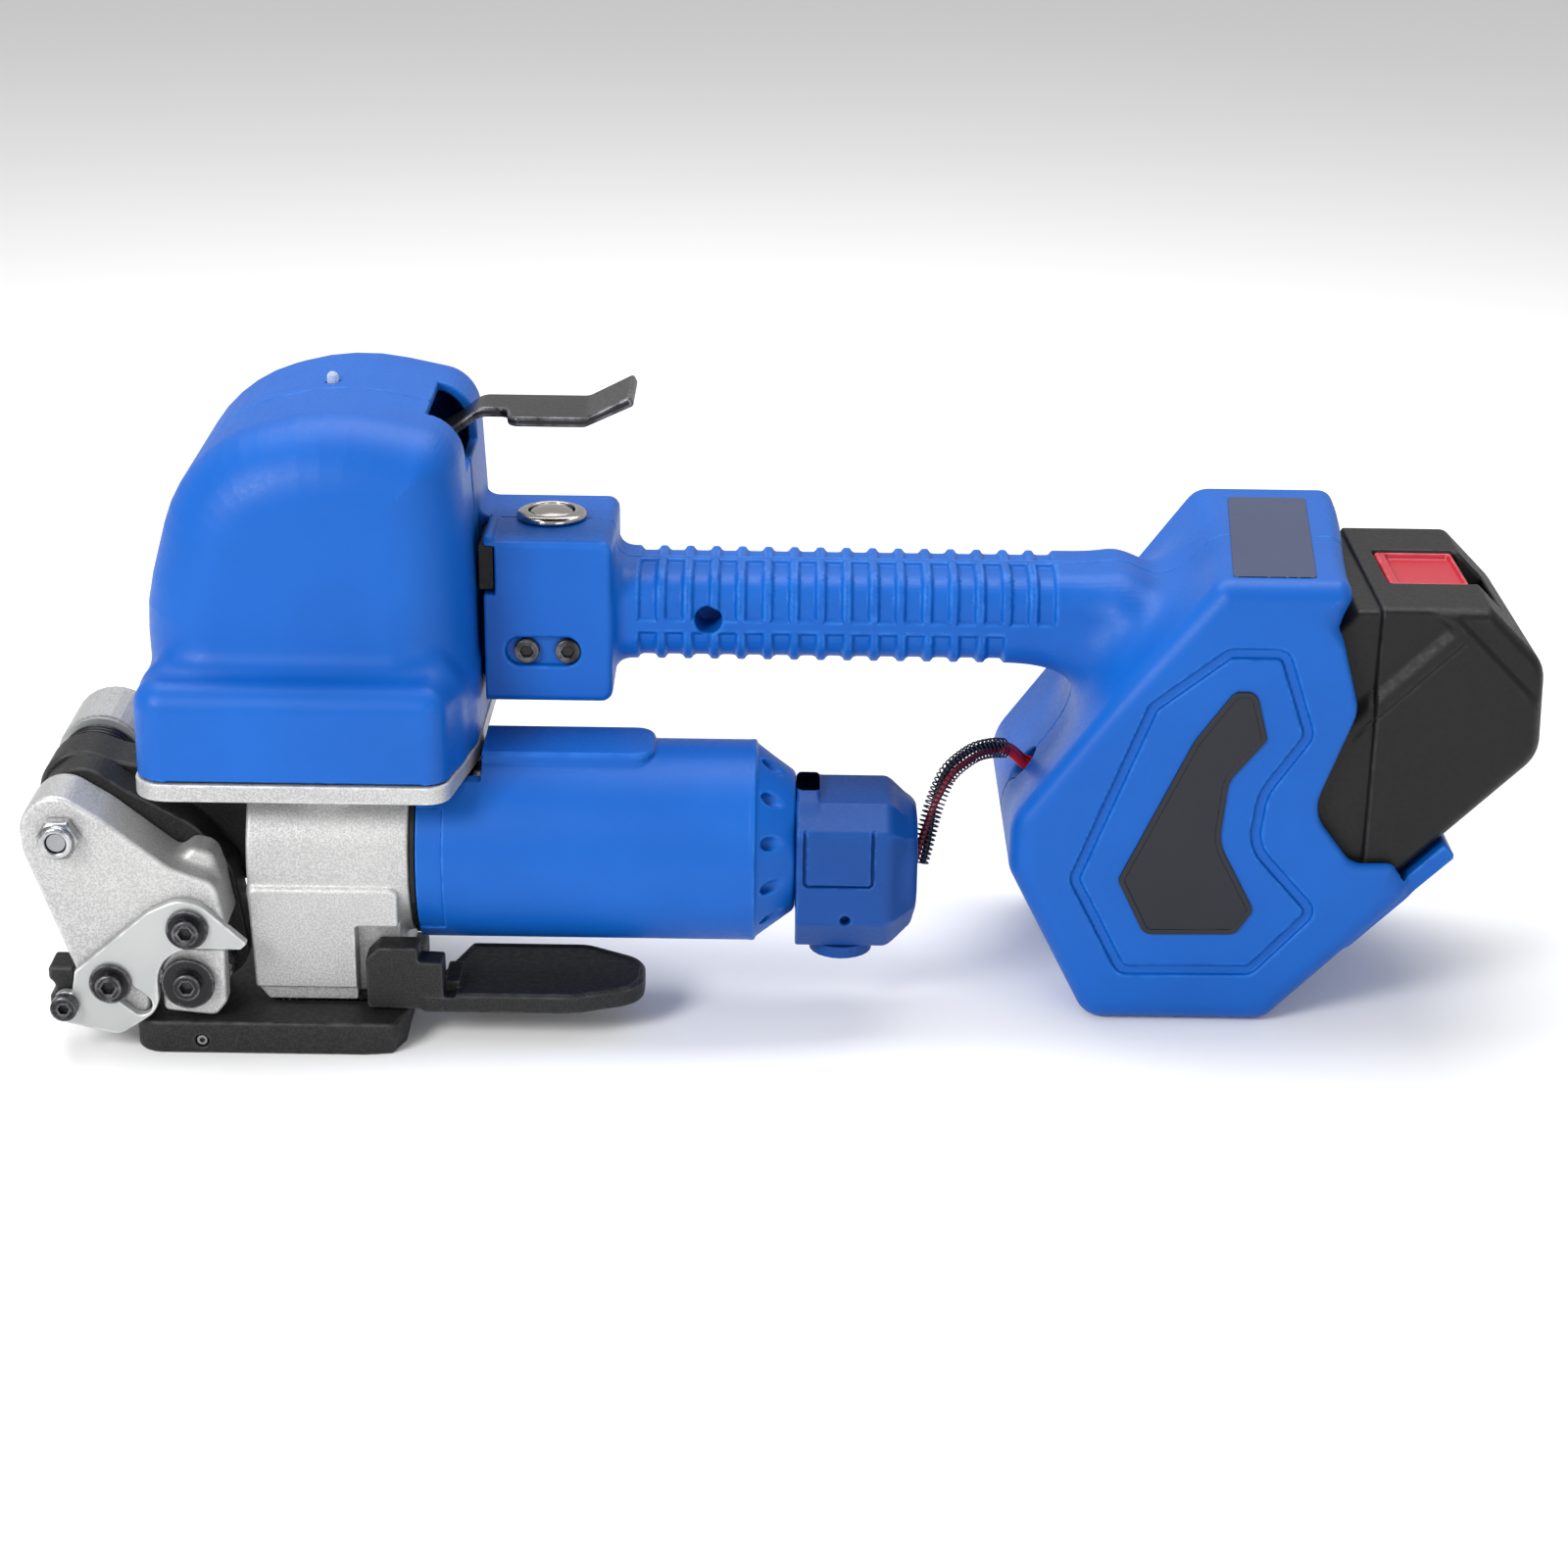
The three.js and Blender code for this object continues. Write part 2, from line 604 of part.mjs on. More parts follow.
// The worm wheel and the first gear of the arm turn together on the pivot shaft.
function wormWheel() {
  const hub = cut(
    cylinder("Y", 3.1, -43.5, -22.5, PIVOT.x, PIVOT.z, 20),
    cylinder("Y", 2.6, -50, -10, PIVOT.x, PIVOT.z, 16),
  );
  const wheel = toothedDisc(8.4, 18, 0.8, -31.5, -22.5, PIVOT.x, PIVOT.z, 2.8);
  const gear = armGear(0, 2.8);
  return join(hub, wheel, gear);
}

function weldMotor() {
  return join(
    cylinder("Z", 15.5, 76, 128, -113.6, -26, 24),
    cylinder("Z", 4, 128, 131, -113.6, -26, 12),
    box(-131, -96, -40, -12, PLATE.top + GAP, 76),
  );
}

function weldEccentric() {
  return join(
    cylinder("Z", 3, 57, PLATE.top, -113.6, MOTOR.y, 16),
    cylinder("Z", 7.5, 60, 64.5, -113.6, MOTOR.y + 1, 20),
  );
}

const LEAD_ROUTE = [
  [35.6, -27, 38],
  [37.4, -26.2, 39],
  [38.6, -24, 44],
  [39.8, -21, 50],
  [41.4, -18, 55],
  [44, -15.5, 59.4],
  [47, -12, 61.4],
  [49.4, -7.5, 61.2],
  [50.6, -3.2, 59.8],
  [51.4, -0.8, 58.4],
  [52.8, 0, 57.2],
];

// The helical spring guard of the motor lead, as a plain sleeve of its outer diameter.
function leadGuard() {
  const curve = new THREE.CatmullRomCurve3(LEAD_ROUTE.map((p) => new THREE.Vector3(...p)));
  const shape = new THREE.Shape().absarc(0, 0, 2.7, 0, 2 * Math.PI);
  const settings = { steps: 24, extrudePath: curve, curveSegments: 5, bevelEnabled: false };
  return solid(new THREE.ExtrudeGeometry(shape, settings));
}

// ---------------------------------------------------------------- tension arm
const ARM = { front: -62, back: -45.5 };

function buildArm() {
  const arm = subgroup();
  piece(arm, "tension_arm", tensionArm(), "casting");
  piece(arm, "arm_gear_case", armGearCase(), "blackMetal");
  [1, 2].forEach((place) => piece(arm, `idler_gear_${place}`, armGear(place, 2.2), "steel"));
  piece(arm, "tension_wheel", tensionWheel(), "steel");
  piece(arm, "strap_guide_plate", guidePlate(), "plate");
  const front = ARM.front - 3.1;
  const headShape = { radius: 5.1, height: 2.6 };
  const stem = { radius: 1.9, length: 11 };
  piece(arm, "guide_screw_upper", socketScrew(-145.8, 34.4, front, headShape, stem, 3), "blackMetal");
  piece(arm, "guide_screw_lower", socketScrew(-165.5, 19.5, front, headShape, stem, 3), "blackMetal");
  const corner = socketScrew(-177, 13.4, front, { radius: 3.4, height: 3 }, { radius: 1.4, length: 8 }, 2.4);
  piece(arm, "corner_screw", corner, "blackMetal");
  piece(arm, "guide_stop", guideStop(), "blackMetal");
  piece(arm, "strap_presser", strapPresser(), "casting");
  const axle = socketScrew(WHEEL.x, WHEEL.z, -62.6, { radius: 6.6, height: 3.2 }, { radius: 1.8, length: 8 }, 3.4);
  piece(arm, "presser_screw", axle, "blackMetal");
  piece(arm, "presser_spring", presserSpring(), "steel");
  buildPivot(arm);
}

function armOutline() {
  return [
    [-186.3, 62, 9],
    [-178, 69.5, 8],
    [-166, 64.5, 6],
    [-150, 49.8, 12],
    [-139, 45.2, 5],
    [-136.8, 33, 2],
    [-139, 30, 1],
    [-156, 30, 1],
    [-156.8, 9.5, 2],
    [-171, 11, 3],
    [-185.6, 53, 12],
  ];
}

function tensionArm() {
  const body = cushion("XZ", armOutline(), ARM.front, ARM.back, { lowRound: 1, steps: 1 });
  const boss = cushion("XZ", [[-150, 44, 3], [-139.5, 41, 3], [-140, 50.2, 4], [-147, 52, 3]], -55, ARM.back);
  return cut(
    join(body, boss),
    cylinder("Y", 3.3, -80, -30, PIVOT.x, PIVOT.z, 16),
    cylinder("Y", 2.2, -80, -50, -145.8, 34.4, 12),
    cylinder("Y", 2.2, -80, -50, -165.5, 19.5, 12),
  );
}

// The arm's gear train runs in a straight line from the pivot to the wheel, in equal gears.
const TRAIN = { gears: 4, radius: 7.9, teeth: 14, front: -43.5, back: -38 };

function trainCentre(place) {
  const share = place / (TRAIN.gears - 1);
  return [PIVOT.x + (WHEEL.x - PIVOT.x) * share, PIVOT.z + (WHEEL.z - PIVOT.z) * share];
}

function armGear(place, bore) {
  const [x, z] = trainCentre(place);
  return toothedDisc(TRAIN.radius, TRAIN.teeth, 1, TRAIN.front, TRAIN.back, x, z, bore);
}

function armGearCase() {
  const corners = [
    [-189.1, 59.3, 9.3],
    [-148.5, 5.7, 9.3],
    [-133.6, 16.9, 9.3],
    [-137.2, 42, 8],
    [-146, 53.5, 14],
    [-163, 63, 5],
    [-174.1, 70.7, 9.3],
  ];
  const outer = cushion("XZ", corners, ARM.back + GAP, -34.7);
  const room = cushion("XZ", corners, ARM.back + 1.4, -30, { inset: 1 });
  const shaftHole = cylinder("Y", 3.4, -50, -30, PIVOT.x, PIVOT.z, 16);
  const wheelHole = cylinder("Y", 4.2, -50, -40, WHEEL.x, WHEEL.z, 16);
  const stubs = [1, 2].map((place) => cylinder("Y", 1.9, ARM.back + 1, TRAIN.back + 1, ...trainCentre(place), 12));
  return join(cut(outer, room, shaftHole, wheelHole), ...stubs);
}

function tensionWheel() {
  const tread = toothedDisc(WHEEL.radius, 26, 0.4, -55.2, -45.8, WHEEL.x, WHEEL.z, 0);
  const shaft = cylinder("Y", 3.8, -46, -37, WHEEL.x, WHEEL.z, 20);
  const gear = armGear(TRAIN.gears - 1, 0);
  const threads = cylinder("Y", 2.1, -56, -48, WHEEL.x, WHEEL.z, 12);
  return cut(join(tread, shaft, gear), threads);
}

function guidePlate() {
  const plate = cushion("XZ", [
    [-174.3, 22.4, 1],
    [-155.5, 38.5, 8],
    [-148, 42, 8],
    [-142.5, 40.8, 5],
    [-131.3, 30.4, 0.6],
    [-133, 28.8, 0.6],
    [-143.5, 28.8, 4],
    [-153.8, 28.5, 9],
    [-153.9, 12, 7],
    [-164, 5.2, 4],
    [-177.8, 8.4, 1.5],
    [-177.6, 12.6, 1],
    [-175.3, 16.6, 1],
  ], ARM.front - 2.8, ARM.front - GAP);
  const slotCentres = [[-165.5, 19.5], [-158.4, 13.6]];
  const slot = new THREE.Shape();
  const [start, end] = slotCentres.map(([x, z]) => new THREE.Vector2(x, z));
  const heading = Math.atan2(end.y - start.y, end.x - start.x);
  slot.absarc(start.x, start.y, 2.8, heading + Math.PI / 2, heading - Math.PI / 2);
  slot.absarc(end.x, end.y, 2.8, heading - Math.PI / 2, heading + Math.PI / 2);
  const geometry = new THREE.ExtrudeGeometry(slot, { depth: 8, curveSegments: 6, bevelEnabled: false });
  const slotTool = solid(geometry.rotateX(Math.PI / 2).translate(0, ARM.front + 2, 0));
  const upperHole = cylinder("Y", 2.2, -70, -60, -145.8, 34.4, 12);
  const cornerHole = cylinder("Y", 1.8, -70, -60, -177, 13.4, 12);
  const cornerLug = cylinder("Y", 3.2, ARM.front - 2.8, ARM.front - GAP, -177, 13.4, 16);
  return cut(join(plate, cornerLug), slotTool, upperHole, cornerHole);
}

function guideStop() {
  const stop = cushion("XZ", rectangle(-181.5, -175.2, 10.4, 22, 1), ARM.front - GAP + 0.5, -52);
  return cut(stop, cylinder("Y", 1.7, -70, -48, -177, 13.4, 12));
}

function strapPresser() {
  const body = cushion("XZ", [
    [-153.4, 10.6, 1.5],
    [-140.5, 9.2, 2.5],
    [-137.6, 13, 2],
    [-137.6, 27.6, 1],
    [-150, 27.6, 3],
    [-153.4, 23, 3],
  ], -61.6, -56);
  return cut(body, cylinder("Y", 2.2, -70, -50, WHEEL.x, WHEEL.z, 12));
}

// The presser's torsion spring, as a ring round the screw.
function presserSpring() {
  return cut(
    cylinder("Y", 4.6, -62.3, -61.8, WHEEL.x, WHEEL.z + 1, 20),
    cylinder("Y", 3.8, -70, -50, WHEEL.x, WHEEL.z + 1, 20),
  );
}

function buildPivot(arm) {
  const sleeve = (name, radius, bore, y0, y1, material) => {
    const ring = cylinder("Y", radius, y0, y1, PIVOT.x, PIVOT.z, 28);
    const body = bore ? cut(ring, cylinder("Y", bore, y0 - 1, y1 + 1, PIVOT.x, PIVOT.z, 16)) : ring;
    piece(arm, name, body, material);
  };
  sleeve("pivot_shaft", 2.3, 0, -66.5, 8, "steel");
  const nut = join(
    hexPrism("Y", 9.6, -66, ARM.front - GAP, PIVOT.x, PIVOT.z),
    cylinder("Y", 4.2, -67.4, -66, PIVOT.x, PIVOT.z, 20),
  );
  piece(arm, "pivot_nut", cut(nut, cylinder("Y", 2.6, -70, -60, PIVOT.x, PIVOT.z, 16)), "steel");
  sleeve("arm_torsion_spring", 10, 6, -19.4, -11, "blackMetal");
  sleeve("spring_washer", 11, 3.4, -10.6, -9.4, "steel");
  const cap = cut(
    cylinder("Y", 11.5, -9, 12, PIVOT.x, PIVOT.z, 28),
    cylinder("Y", 2.6, -20, 9, PIVOT.x, PIVOT.z, 16),
  );
  piece(arm, "spring_cap", cap, "casting");
}

// ---------------------------------------------------------------- levers
function buildLevers() {
  const levers = subgroup();
  piece(levers, "rocker_lever", rockerLever(), "blackMetal");
  piece(levers, "rocker_pin", cylinder("Y", 2, -55.2, -36.4, ROCKER.x, ROCKER.z, 16), "steel");
  piece(levers, "weld_lever", weldLever(), "blackMetal");
  piece(levers, "weld_lever_pin", cylinder("Y", 2, -12, 12, WELD_LEVER.x, WELD_LEVER.z, 16), "steel");
}

function rockerLever() {
  const bracket = cushion("XZ", [
    [-103.4, 9.6, 1],
    [-84.2, 9.2, 1],
    [-84.4, 22, 1],
    [-90.5, 22.2, 1],
    [-90.5, 26, 1.5],
    [-100.6, 26, 2],
    [-103.6, 22.4, 1],
  ], -56.6, -49);
  const pad = cushion("XY", [
    [-90, -56.6, 1],
    [-52, -56.6, 12],
    [-34.6, -50, 9],
    [-34.6, -34, 9],
    [-50, -25, 10],
    [-80, -25, 2],
    [-88, -49, 1],
  ], 8.4, 13.2, { highRound: 0.8, steps: 1 });
  return cut(join(bracket, pad), cylinder("Y", 2.3, -55.5, -30, ROCKER.x, ROCKER.z, 16));
}

// A bent strap: a short neck out of the hood's slot, then a wider paddle that turns up at its tip.
function weldLever() {
  const thickness = 2.6;
  const route = [
    [-99, 137.5],
    [-84, 145],
    [-77.5, 150.2],
    [-50.5, 150.2],
    [-38.4, 156.2],
  ];
  const lower = route.map(([x, z]) => [x, z - thickness, 0.4]);
  const upper = route.map(([x, z]) => [x, z, 0.4]).reverse();
  const neckPart = cushion("XZ", [...lower, ...upper], -3.4, 10);
  const paddle = cushion("XZ", [...lower.slice(2), ...upper.slice(0, 3)], -12, 10);
  const paddlePlan = cushion("XY", [[-69, -12, 3], [-36, -12, 3], [-36, 10, 3], [-69, 10, 0.5]], 130, 170);
  const eye = cylinder("Y", 5, -3.4, 10, WELD_LEVER.x, WELD_LEVER.z, 20);
  const bore = cylinder("Y", 2.3, -20, 20, WELD_LEVER.x, WELD_LEVER.z, 16);
  return cut(join(neckPart, paddle.intersect(paddlePlan), eye), bore);
}

// ---------------------------------------------------------------- battery
function buildBattery() {
  const battery = subgroup();
  battery.applyMatrix4(batteryFrame);
  const { half, end, length, height } = BATTERY;
  const start = end - length;
  const shoulder = 23.5; // how far the flat that holds the latch cuts off the upper corner
  const corners = [
    [start, 0, 4],
    [end - 16.3, 0, 10],
    [end, 17.5, 10],
    [end, height - shoulder, 3],
    [end - shoulder, height, 3],
    [start, height, 3],
  ];
  const body = cushion("XZ", corners, -half, half, { lowRound: 6, highRound: 6 });
  const onShoulder = (geometry) => solid(geometry.rotateY(Math.PI / 4).translate(end - 8, 0, height - 15.5));
  const pocket = onShoulder(new THREE.BoxGeometry(21.4, 26.8, 17));
  const latch = onShoulder(new THREE.BoxGeometry(20.6, 26, 4.4).translate(0, 0, -2.6));
  const terminals = new THREE.BoxGeometry(44, 30, 8).translate(start + 26, 0, height);
  piece(battery, "battery_case", cut(body, pocket, solid(terminals)), "blackPlastic");
  piece(battery, "battery_latch", latch, "red");
  const contacts = new THREE.BoxGeometry(36, 22, 3.2).translate(start + 26, 0, height - 2);
  piece(battery, "battery_terminals", solid(contacts), "copper");
  const dock = new THREE.BoxGeometry(50, 50, 5).translate(start + 31, 0, height + 3.4);
  piece(battery, "battery_dock", solid(dock), "blackPlastic");
}

buildShells();
buildHandleControls();
buildHead();
buildDrive();
buildArm();
buildLevers();
buildBattery();

// The origin lies under the middle of the tool, on the surface that it stands on.
const extent = new THREE.Box3().setFromObject(tool, true);
const middle = extent.getCenter(new THREE.Vector3());
tool.position.set(-middle.x, -middle.y, -extent.min.z);

export default tool;
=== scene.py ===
"""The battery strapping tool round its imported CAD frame: moulded shells, castings and battery as smooth
skins of distance fields, springs and wires as curves, and procedural materials on every piece."""

import math

import bpy
import numpy as np
from mathutils import Matrix, Vector


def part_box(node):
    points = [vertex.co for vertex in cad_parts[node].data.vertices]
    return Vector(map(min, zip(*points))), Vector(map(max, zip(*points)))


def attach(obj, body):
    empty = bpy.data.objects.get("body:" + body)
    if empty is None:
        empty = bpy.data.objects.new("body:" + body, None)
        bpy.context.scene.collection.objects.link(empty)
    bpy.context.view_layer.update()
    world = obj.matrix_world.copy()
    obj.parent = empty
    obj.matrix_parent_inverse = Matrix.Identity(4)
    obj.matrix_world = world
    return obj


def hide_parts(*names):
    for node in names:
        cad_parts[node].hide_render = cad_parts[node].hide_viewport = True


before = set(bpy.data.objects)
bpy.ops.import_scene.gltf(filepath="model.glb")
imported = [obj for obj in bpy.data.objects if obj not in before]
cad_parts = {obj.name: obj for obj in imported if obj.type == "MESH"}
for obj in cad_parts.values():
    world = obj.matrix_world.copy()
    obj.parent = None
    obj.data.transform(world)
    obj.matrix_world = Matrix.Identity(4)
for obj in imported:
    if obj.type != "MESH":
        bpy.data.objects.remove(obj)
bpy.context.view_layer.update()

# Shapes below are in millimetres in the bench frame: y = 0 where the front and rear shells meet, z = 0 at the
# standing plane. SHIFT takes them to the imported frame, and is read from the front shell's box.
MM = 0.001
BLOCK_LEFT = -75.6
HALF_GAP = 0.15
front_low, front_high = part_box("front_shell")
SHIFT = np.array([front_low.x / MM - BLOCK_LEFT, front_high.y / MM + HALF_GAP, 0.0])
X, Y, Z = 0, 1, 2
MOTOR_Y, MOTOR_Z = -28.0, 44.7
PIVOT_X, PIVOT_Z = -176.0, 57.5
WHEEL_X, WHEEL_Z = -146.7, 18.8


# ---------------------------------------------------------------- distance fields
def soft_min(a, b, k):
    h = np.maximum(k - np.abs(a - b), 0.0) / k
    return np.minimum(a, b) - h * h * k / 4


def soft_max(a, b, k):
    return -soft_min(-a, -b, k)


def merge(k, *fields):
    """One body out of several, with fillets of size k."""
    whole = fields[0]
    for field in fields[1:]:
        whole = soft_min(whole, field, k)
    return whole


def carve(body, *tools, k=0.7):
    for tool in tools:
        body = soft_max(body, -tool, k)
    return body


def ramp(value, low, high):
    """0 below low, 1 above high, smooth between."""
    t = np.clip((value - low) / (high - low), 0.0, 1.0)
    return t * t * (3 - 2 * t)


def slab(section, w, low, high, low_round=0.6, high_round=0.6):
    """A flat section given depth from low to high along w, with quarter-round edges."""
    middle = (low + high) / 2
    rounding = np.where(w < middle, low_round, high_round)
    a = section + rounding
    b = np.abs(w - middle) - (high - low) / 2 + rounding
    return np.minimum(np.maximum(a, b), 0) + np.hypot(np.maximum(a, 0), np.maximum(b, 0)) - rounding


def others(p, axis):
    return [p[i] for i in range(3) if i != axis]


def rod(p, axis, radius, low, high, a, b, rounding=0.5):
    """A cylinder along an axis, centred at (a, b) on the other two."""
    u, v = others(p, axis)
    return slab(np.hypot(u - a, v - b) - radius, p[axis], low, high, rounding, rounding)


def cone(p, axis, low_radius, high_radius, low, high, a, b, rounding=0.5):
    u, v = others(p, axis)
    slope = (high_radius - low_radius) / (high - low)
    radius = low_radius + slope * (p[axis] - low)
    side = (np.hypot(u - a, v - b) - radius) / math.hypot(1, slope)
    return slab(side, p[axis], low, high, rounding, rounding)


def brick(p, x0, x1, y0, y1, z0, z1, rounding=0.5):
    q = [
        np.abs(p[i] - (low + high) / 2) - (high - low) / 2 + rounding
        for i, (low, high) in enumerate(((x0, x1), (y0, y1), (z0, z1)))
    ]
    outside = np.sqrt(sum(np.maximum(d, 0) ** 2 for d in q))
    return outside + np.minimum(np.maximum(np.maximum(q[0], q[1]), q[2]), 0) - rounding


def rounded(corners, turn_step=math.radians(8)):
    """Points of a closed outline whose corners [u, v, radius] are rounded."""
    raw = [np.array(c[:2], float) for c in corners]
    count = len(raw)
    points = []
    for i, corner in enumerate(raw):
        into = corner - raw[i - 1]
        out = raw[(i + 1) % count] - corner
        into, out = into / np.linalg.norm(into), out / np.linalg.norm(out)
        bend = math.atan2(into[0] * out[1] - into[1] * out[0], into @ out)
        radius = corners[i][2]
        if radius <= 0 or abs(bend) < 0.01:
            points.append(corner)
            continue
        start = corner - into * radius * math.tan(abs(bend) / 2)
        centre = start + np.array([-into[1], into[0]]) * math.copysign(radius, bend)
        steps = max(1, round(abs(bend) / turn_step))
        for k in range(steps + 1):
            angle = bend * k / steps
            c, s = math.cos(angle), math.sin(angle)
            d = start - centre
            points.append(centre + np.array([c * d[0] - s * d[1], s * d[0] + c * d[1]]))
    return np.array(points)


def segments(points, u, v):
    """Squared distance to a line of points, and how often it is crossed, for each (u, v)."""
    u, v = np.broadcast_arrays(u, v)
    best = np.full(u.shape, 1e12)
    odd = np.zeros(u.shape, bool)
    for (ax, ay), (bx, by) in zip(points, np.roll(points, -1, 0)):
        ex, ey = bx - ax, by - ay
        length2 = ex * ex + ey * ey
        if length2 < 1e-9:
            continue
        wx, wy = u - ax, v - ay
        t = np.clip((wx * ex + wy * ey) / length2, 0, 1)
        np.minimum(best, (wx - ex * t) ** 2 + (wy - ey * t) ** 2, out=best)
        straddles = (ay <= v) != (by <= v)
        odd ^= straddles & ((wx * ey - wy * ex) * (1 if ey > 0 else -1) < 0)
    return best, odd


def section(corners):
    """The signed distance to a closed rounded outline, as a function of (u, v)."""
    points = rounded(corners)

    def distance(u, v):
        best, inside = segments(points, u, v)
        return np.where(inside, -np.sqrt(best), np.sqrt(best))

    return distance


def stadium(u, v, start, end, radius):
    (ax, ay), (bx, by) = start, end
    ex, ey = bx - ax, by - ay
    t = np.clip(((u - ax) * ex + (v - ay) * ey) / (ex * ex + ey * ey), 0, 1)
    return np.hypot(u - ax - ex * t, v - ay - ey * t) - radius


def rectangle(u0, u1, v0, v1, radius):
    return [[u0, v0, radius], [u1, v0, radius], [u1, v1, radius], [u0, v1, radius]]


# ---------------------------------------------------------------- from field to mesh
def net(shape, low, high, step):
    """Vertices and quads of the field's zero surface, one vertex in each cell that it crosses."""
    axes = [np.arange(a - 2 * step, b + 3 * step, step) for a, b in zip(low, high)]
    size = tuple(len(a) for a in axes)
    grid = (axes[0][:, None, None], axes[1][None, :, None], axes[2][None, None, :])
    field = np.broadcast_to(shape(grid), size).astype(np.float32)
    inside = field < 0
    cells = tuple(n - 1 for n in size)
    count = np.zeros(cells, np.uint8)
    for corner in np.ndindex(2, 2, 2):
        count += inside[tuple(slice(c, c + n) for c, n in zip(corner, cells))]
    active = (count > 0) & (count < 8)
    index = np.argwhere(active)
    number = np.full(cells, -1, np.int64)
    number[active] = np.arange(len(index))
    total = np.zeros((len(index), 3))
    hits = np.zeros(len(index))
    for axis in range(3):
        o1, o2 = (axis + 1) % 3, (axis + 2) % 3
        for b, c in np.ndindex(2, 2):
            start = index.copy()
            start[:, o1] += b
            start[:, o2] += c
            end = start.copy()
            end[:, axis] += 1
            f0, f1 = field[tuple(start.T)], field[tuple(end.T)]
            cross = (f0 < 0) != (f1 < 0)
            place = start[cross].astype(float)
            place[:, axis] += f0[cross] / (f0[cross] - f1[cross])
            total[cross] += place
            hits[cross] += 1
    origin = np.array([a[0] for a in axes])
    vertices = origin + step * total / hits[:, None]
    quads = []
    for axis in range(3):
        o1, o2 = (axis + 1) % 3, (axis + 2) % 3
        near = [slice(1, n - 1) for n in size]
        far = list(near)
        near[axis], far[axis] = slice(0, size[axis] - 1), slice(1, size[axis])
        first = inside[tuple(near)]
        edge = np.argwhere(first != inside[tuple(far)])
        leaving = first[tuple(edge.T)]
        edge[:, o1] += 1
        edge[:, o2] += 1
        ring = []
        for b, c in ((1, 1), (0, 1), (0, 0), (1, 0)):
            cell = edge.copy()
            cell[:, o1] -= b
            cell[:, o2] -= c
            ring.append(number[tuple(cell.T)])
        ring = np.stack(ring, 1)
        ring[~leaving] = ring[~leaving][:, ::-1]
        quads.append(ring)
    return vertices, np.concatenate(quads)


def slope_at(shape, v, value, reach=0.02):
    grown = []
    for axis in range(3):
        w = v.copy()
        w[:, axis] += reach
        grown.append((shape(tuple(w.T)) - value) / reach)
    return np.stack(grown, 1)


def settle(shape, v, step, rounds):
    """Moves vertices onto the zero surface."""
    for _ in range(rounds):
        value = shape(tuple(v.T))
        slope = slope_at(shape, v, value)
        size2 = np.maximum((slope**2).sum(1), 0.2)
        v = v - np.clip(value / size2, -step, step)[:, None] * slope
    return v


def sharpness(shape, v, reach=0.45):
    """The field's curvature at each vertex, per millimetre: above 0 on an outer edge."""
    total = -6 * shape(tuple(v.T))
    for axis in range(3):
        for side in (-reach, reach):
            w = v.copy()
            w[:, axis] += side
            total = total + shape(tuple(w.T))
    return total / reach**2


def mesh_object(name, vertices, faces, matrix=None):
    """A mesh from bench millimetres, with faces all of one size."""
    v = np.asarray(vertices, float)
    if matrix is not None:
        v = v @ matrix[:3, :3].T + matrix[:3, 3]
    v = (v + SHIFT) * MM
    mesh = bpy.data.meshes.new(name)
    faces = np.asarray(faces, np.int32)
    sides = faces.shape[1]
    mesh.vertices.add(len(v))
    mesh.vertices.foreach_set("co", v.astype(np.float32).ravel())
    mesh.loops.add(faces.size)
    mesh.loops.foreach_set("vertex_index", faces.ravel())
    mesh.polygons.add(len(faces))
    mesh.polygons.foreach_set("loop_start", np.arange(0, faces.size, sides, dtype=np.int32))
    mesh.update(calc_edges=True)
    mesh.validate()
    made = bpy.data.objects.new(name, mesh)
    bpy.context.scene.collection.objects.link(made)
    return made


def skin(name, shape, low, high, step=0.6, keep=0.5, matrix=None):
    """A smooth closed mesh of a distance field, thinned where it is flat."""
    vertices, quads = net(shape, low, high, step)
    vertices = settle(shape, vertices, step, 2)
    made = mesh_object(name, vertices, quads, matrix)
    if keep < 1:
        thin = made.modifiers.new("thin", "DECIMATE")
        thin.ratio = keep
        bpy.context.view_layer.update()
        evaluated = made.evaluated_get(bpy.context.evaluated_depsgraph_get())
        slim = bpy.data.meshes.new_from_object(evaluated)
        made.modifiers.clear()
        old = made.data
        made.data = slim
        bpy.data.meshes.remove(old)
        slim.name = name
    mesh = made.data
    co = np.zeros(len(mesh.vertices) * 3, np.float32)
    mesh.vertices.foreach_get("co", co)
    v = co.reshape(-1, 3).astype(float) / MM - SHIFT
    if matrix is not None:
        v = (v - matrix[:3, 3]) @ matrix[:3, :3]
    v = settle(shape, v, step / 2, 1)
    normals = slope_at(shape, v, shape(tuple(v.T)))
    normals /= np.maximum(np.linalg.norm(normals, axis=1), 1e-9)[:, None]
    edges = mesh.attributes.new("edge", "FLOAT", "POINT")
    edges.data.foreach_set("value", sharpness(shape, v).astype(np.float32))
    if matrix is not None:
        v = v @ matrix[:3, :3].T + matrix[:3, 3]
        normals = normals @ matrix[:3, :3].T
    mesh.vertices.foreach_set("co", ((v + SHIFT) * MM).astype(np.float32).ravel())
    mesh.polygons.foreach_set("use_smooth", np.ones(len(mesh.polygons), bool))
    mesh.update()
    mesh.normals_split_custom_set_from_vertices(normals.astype(np.float32))
    return made


# ---------------------------------------------------------------- materials
def srgb(r, g, b):
    def linear(c):
        c /= 255
        return c / 12.92 if c <= 0.04045 else ((c + 0.055) / 1.055) ** 2.4

    return (linear(r), linear(g), linear(b), 1.0)


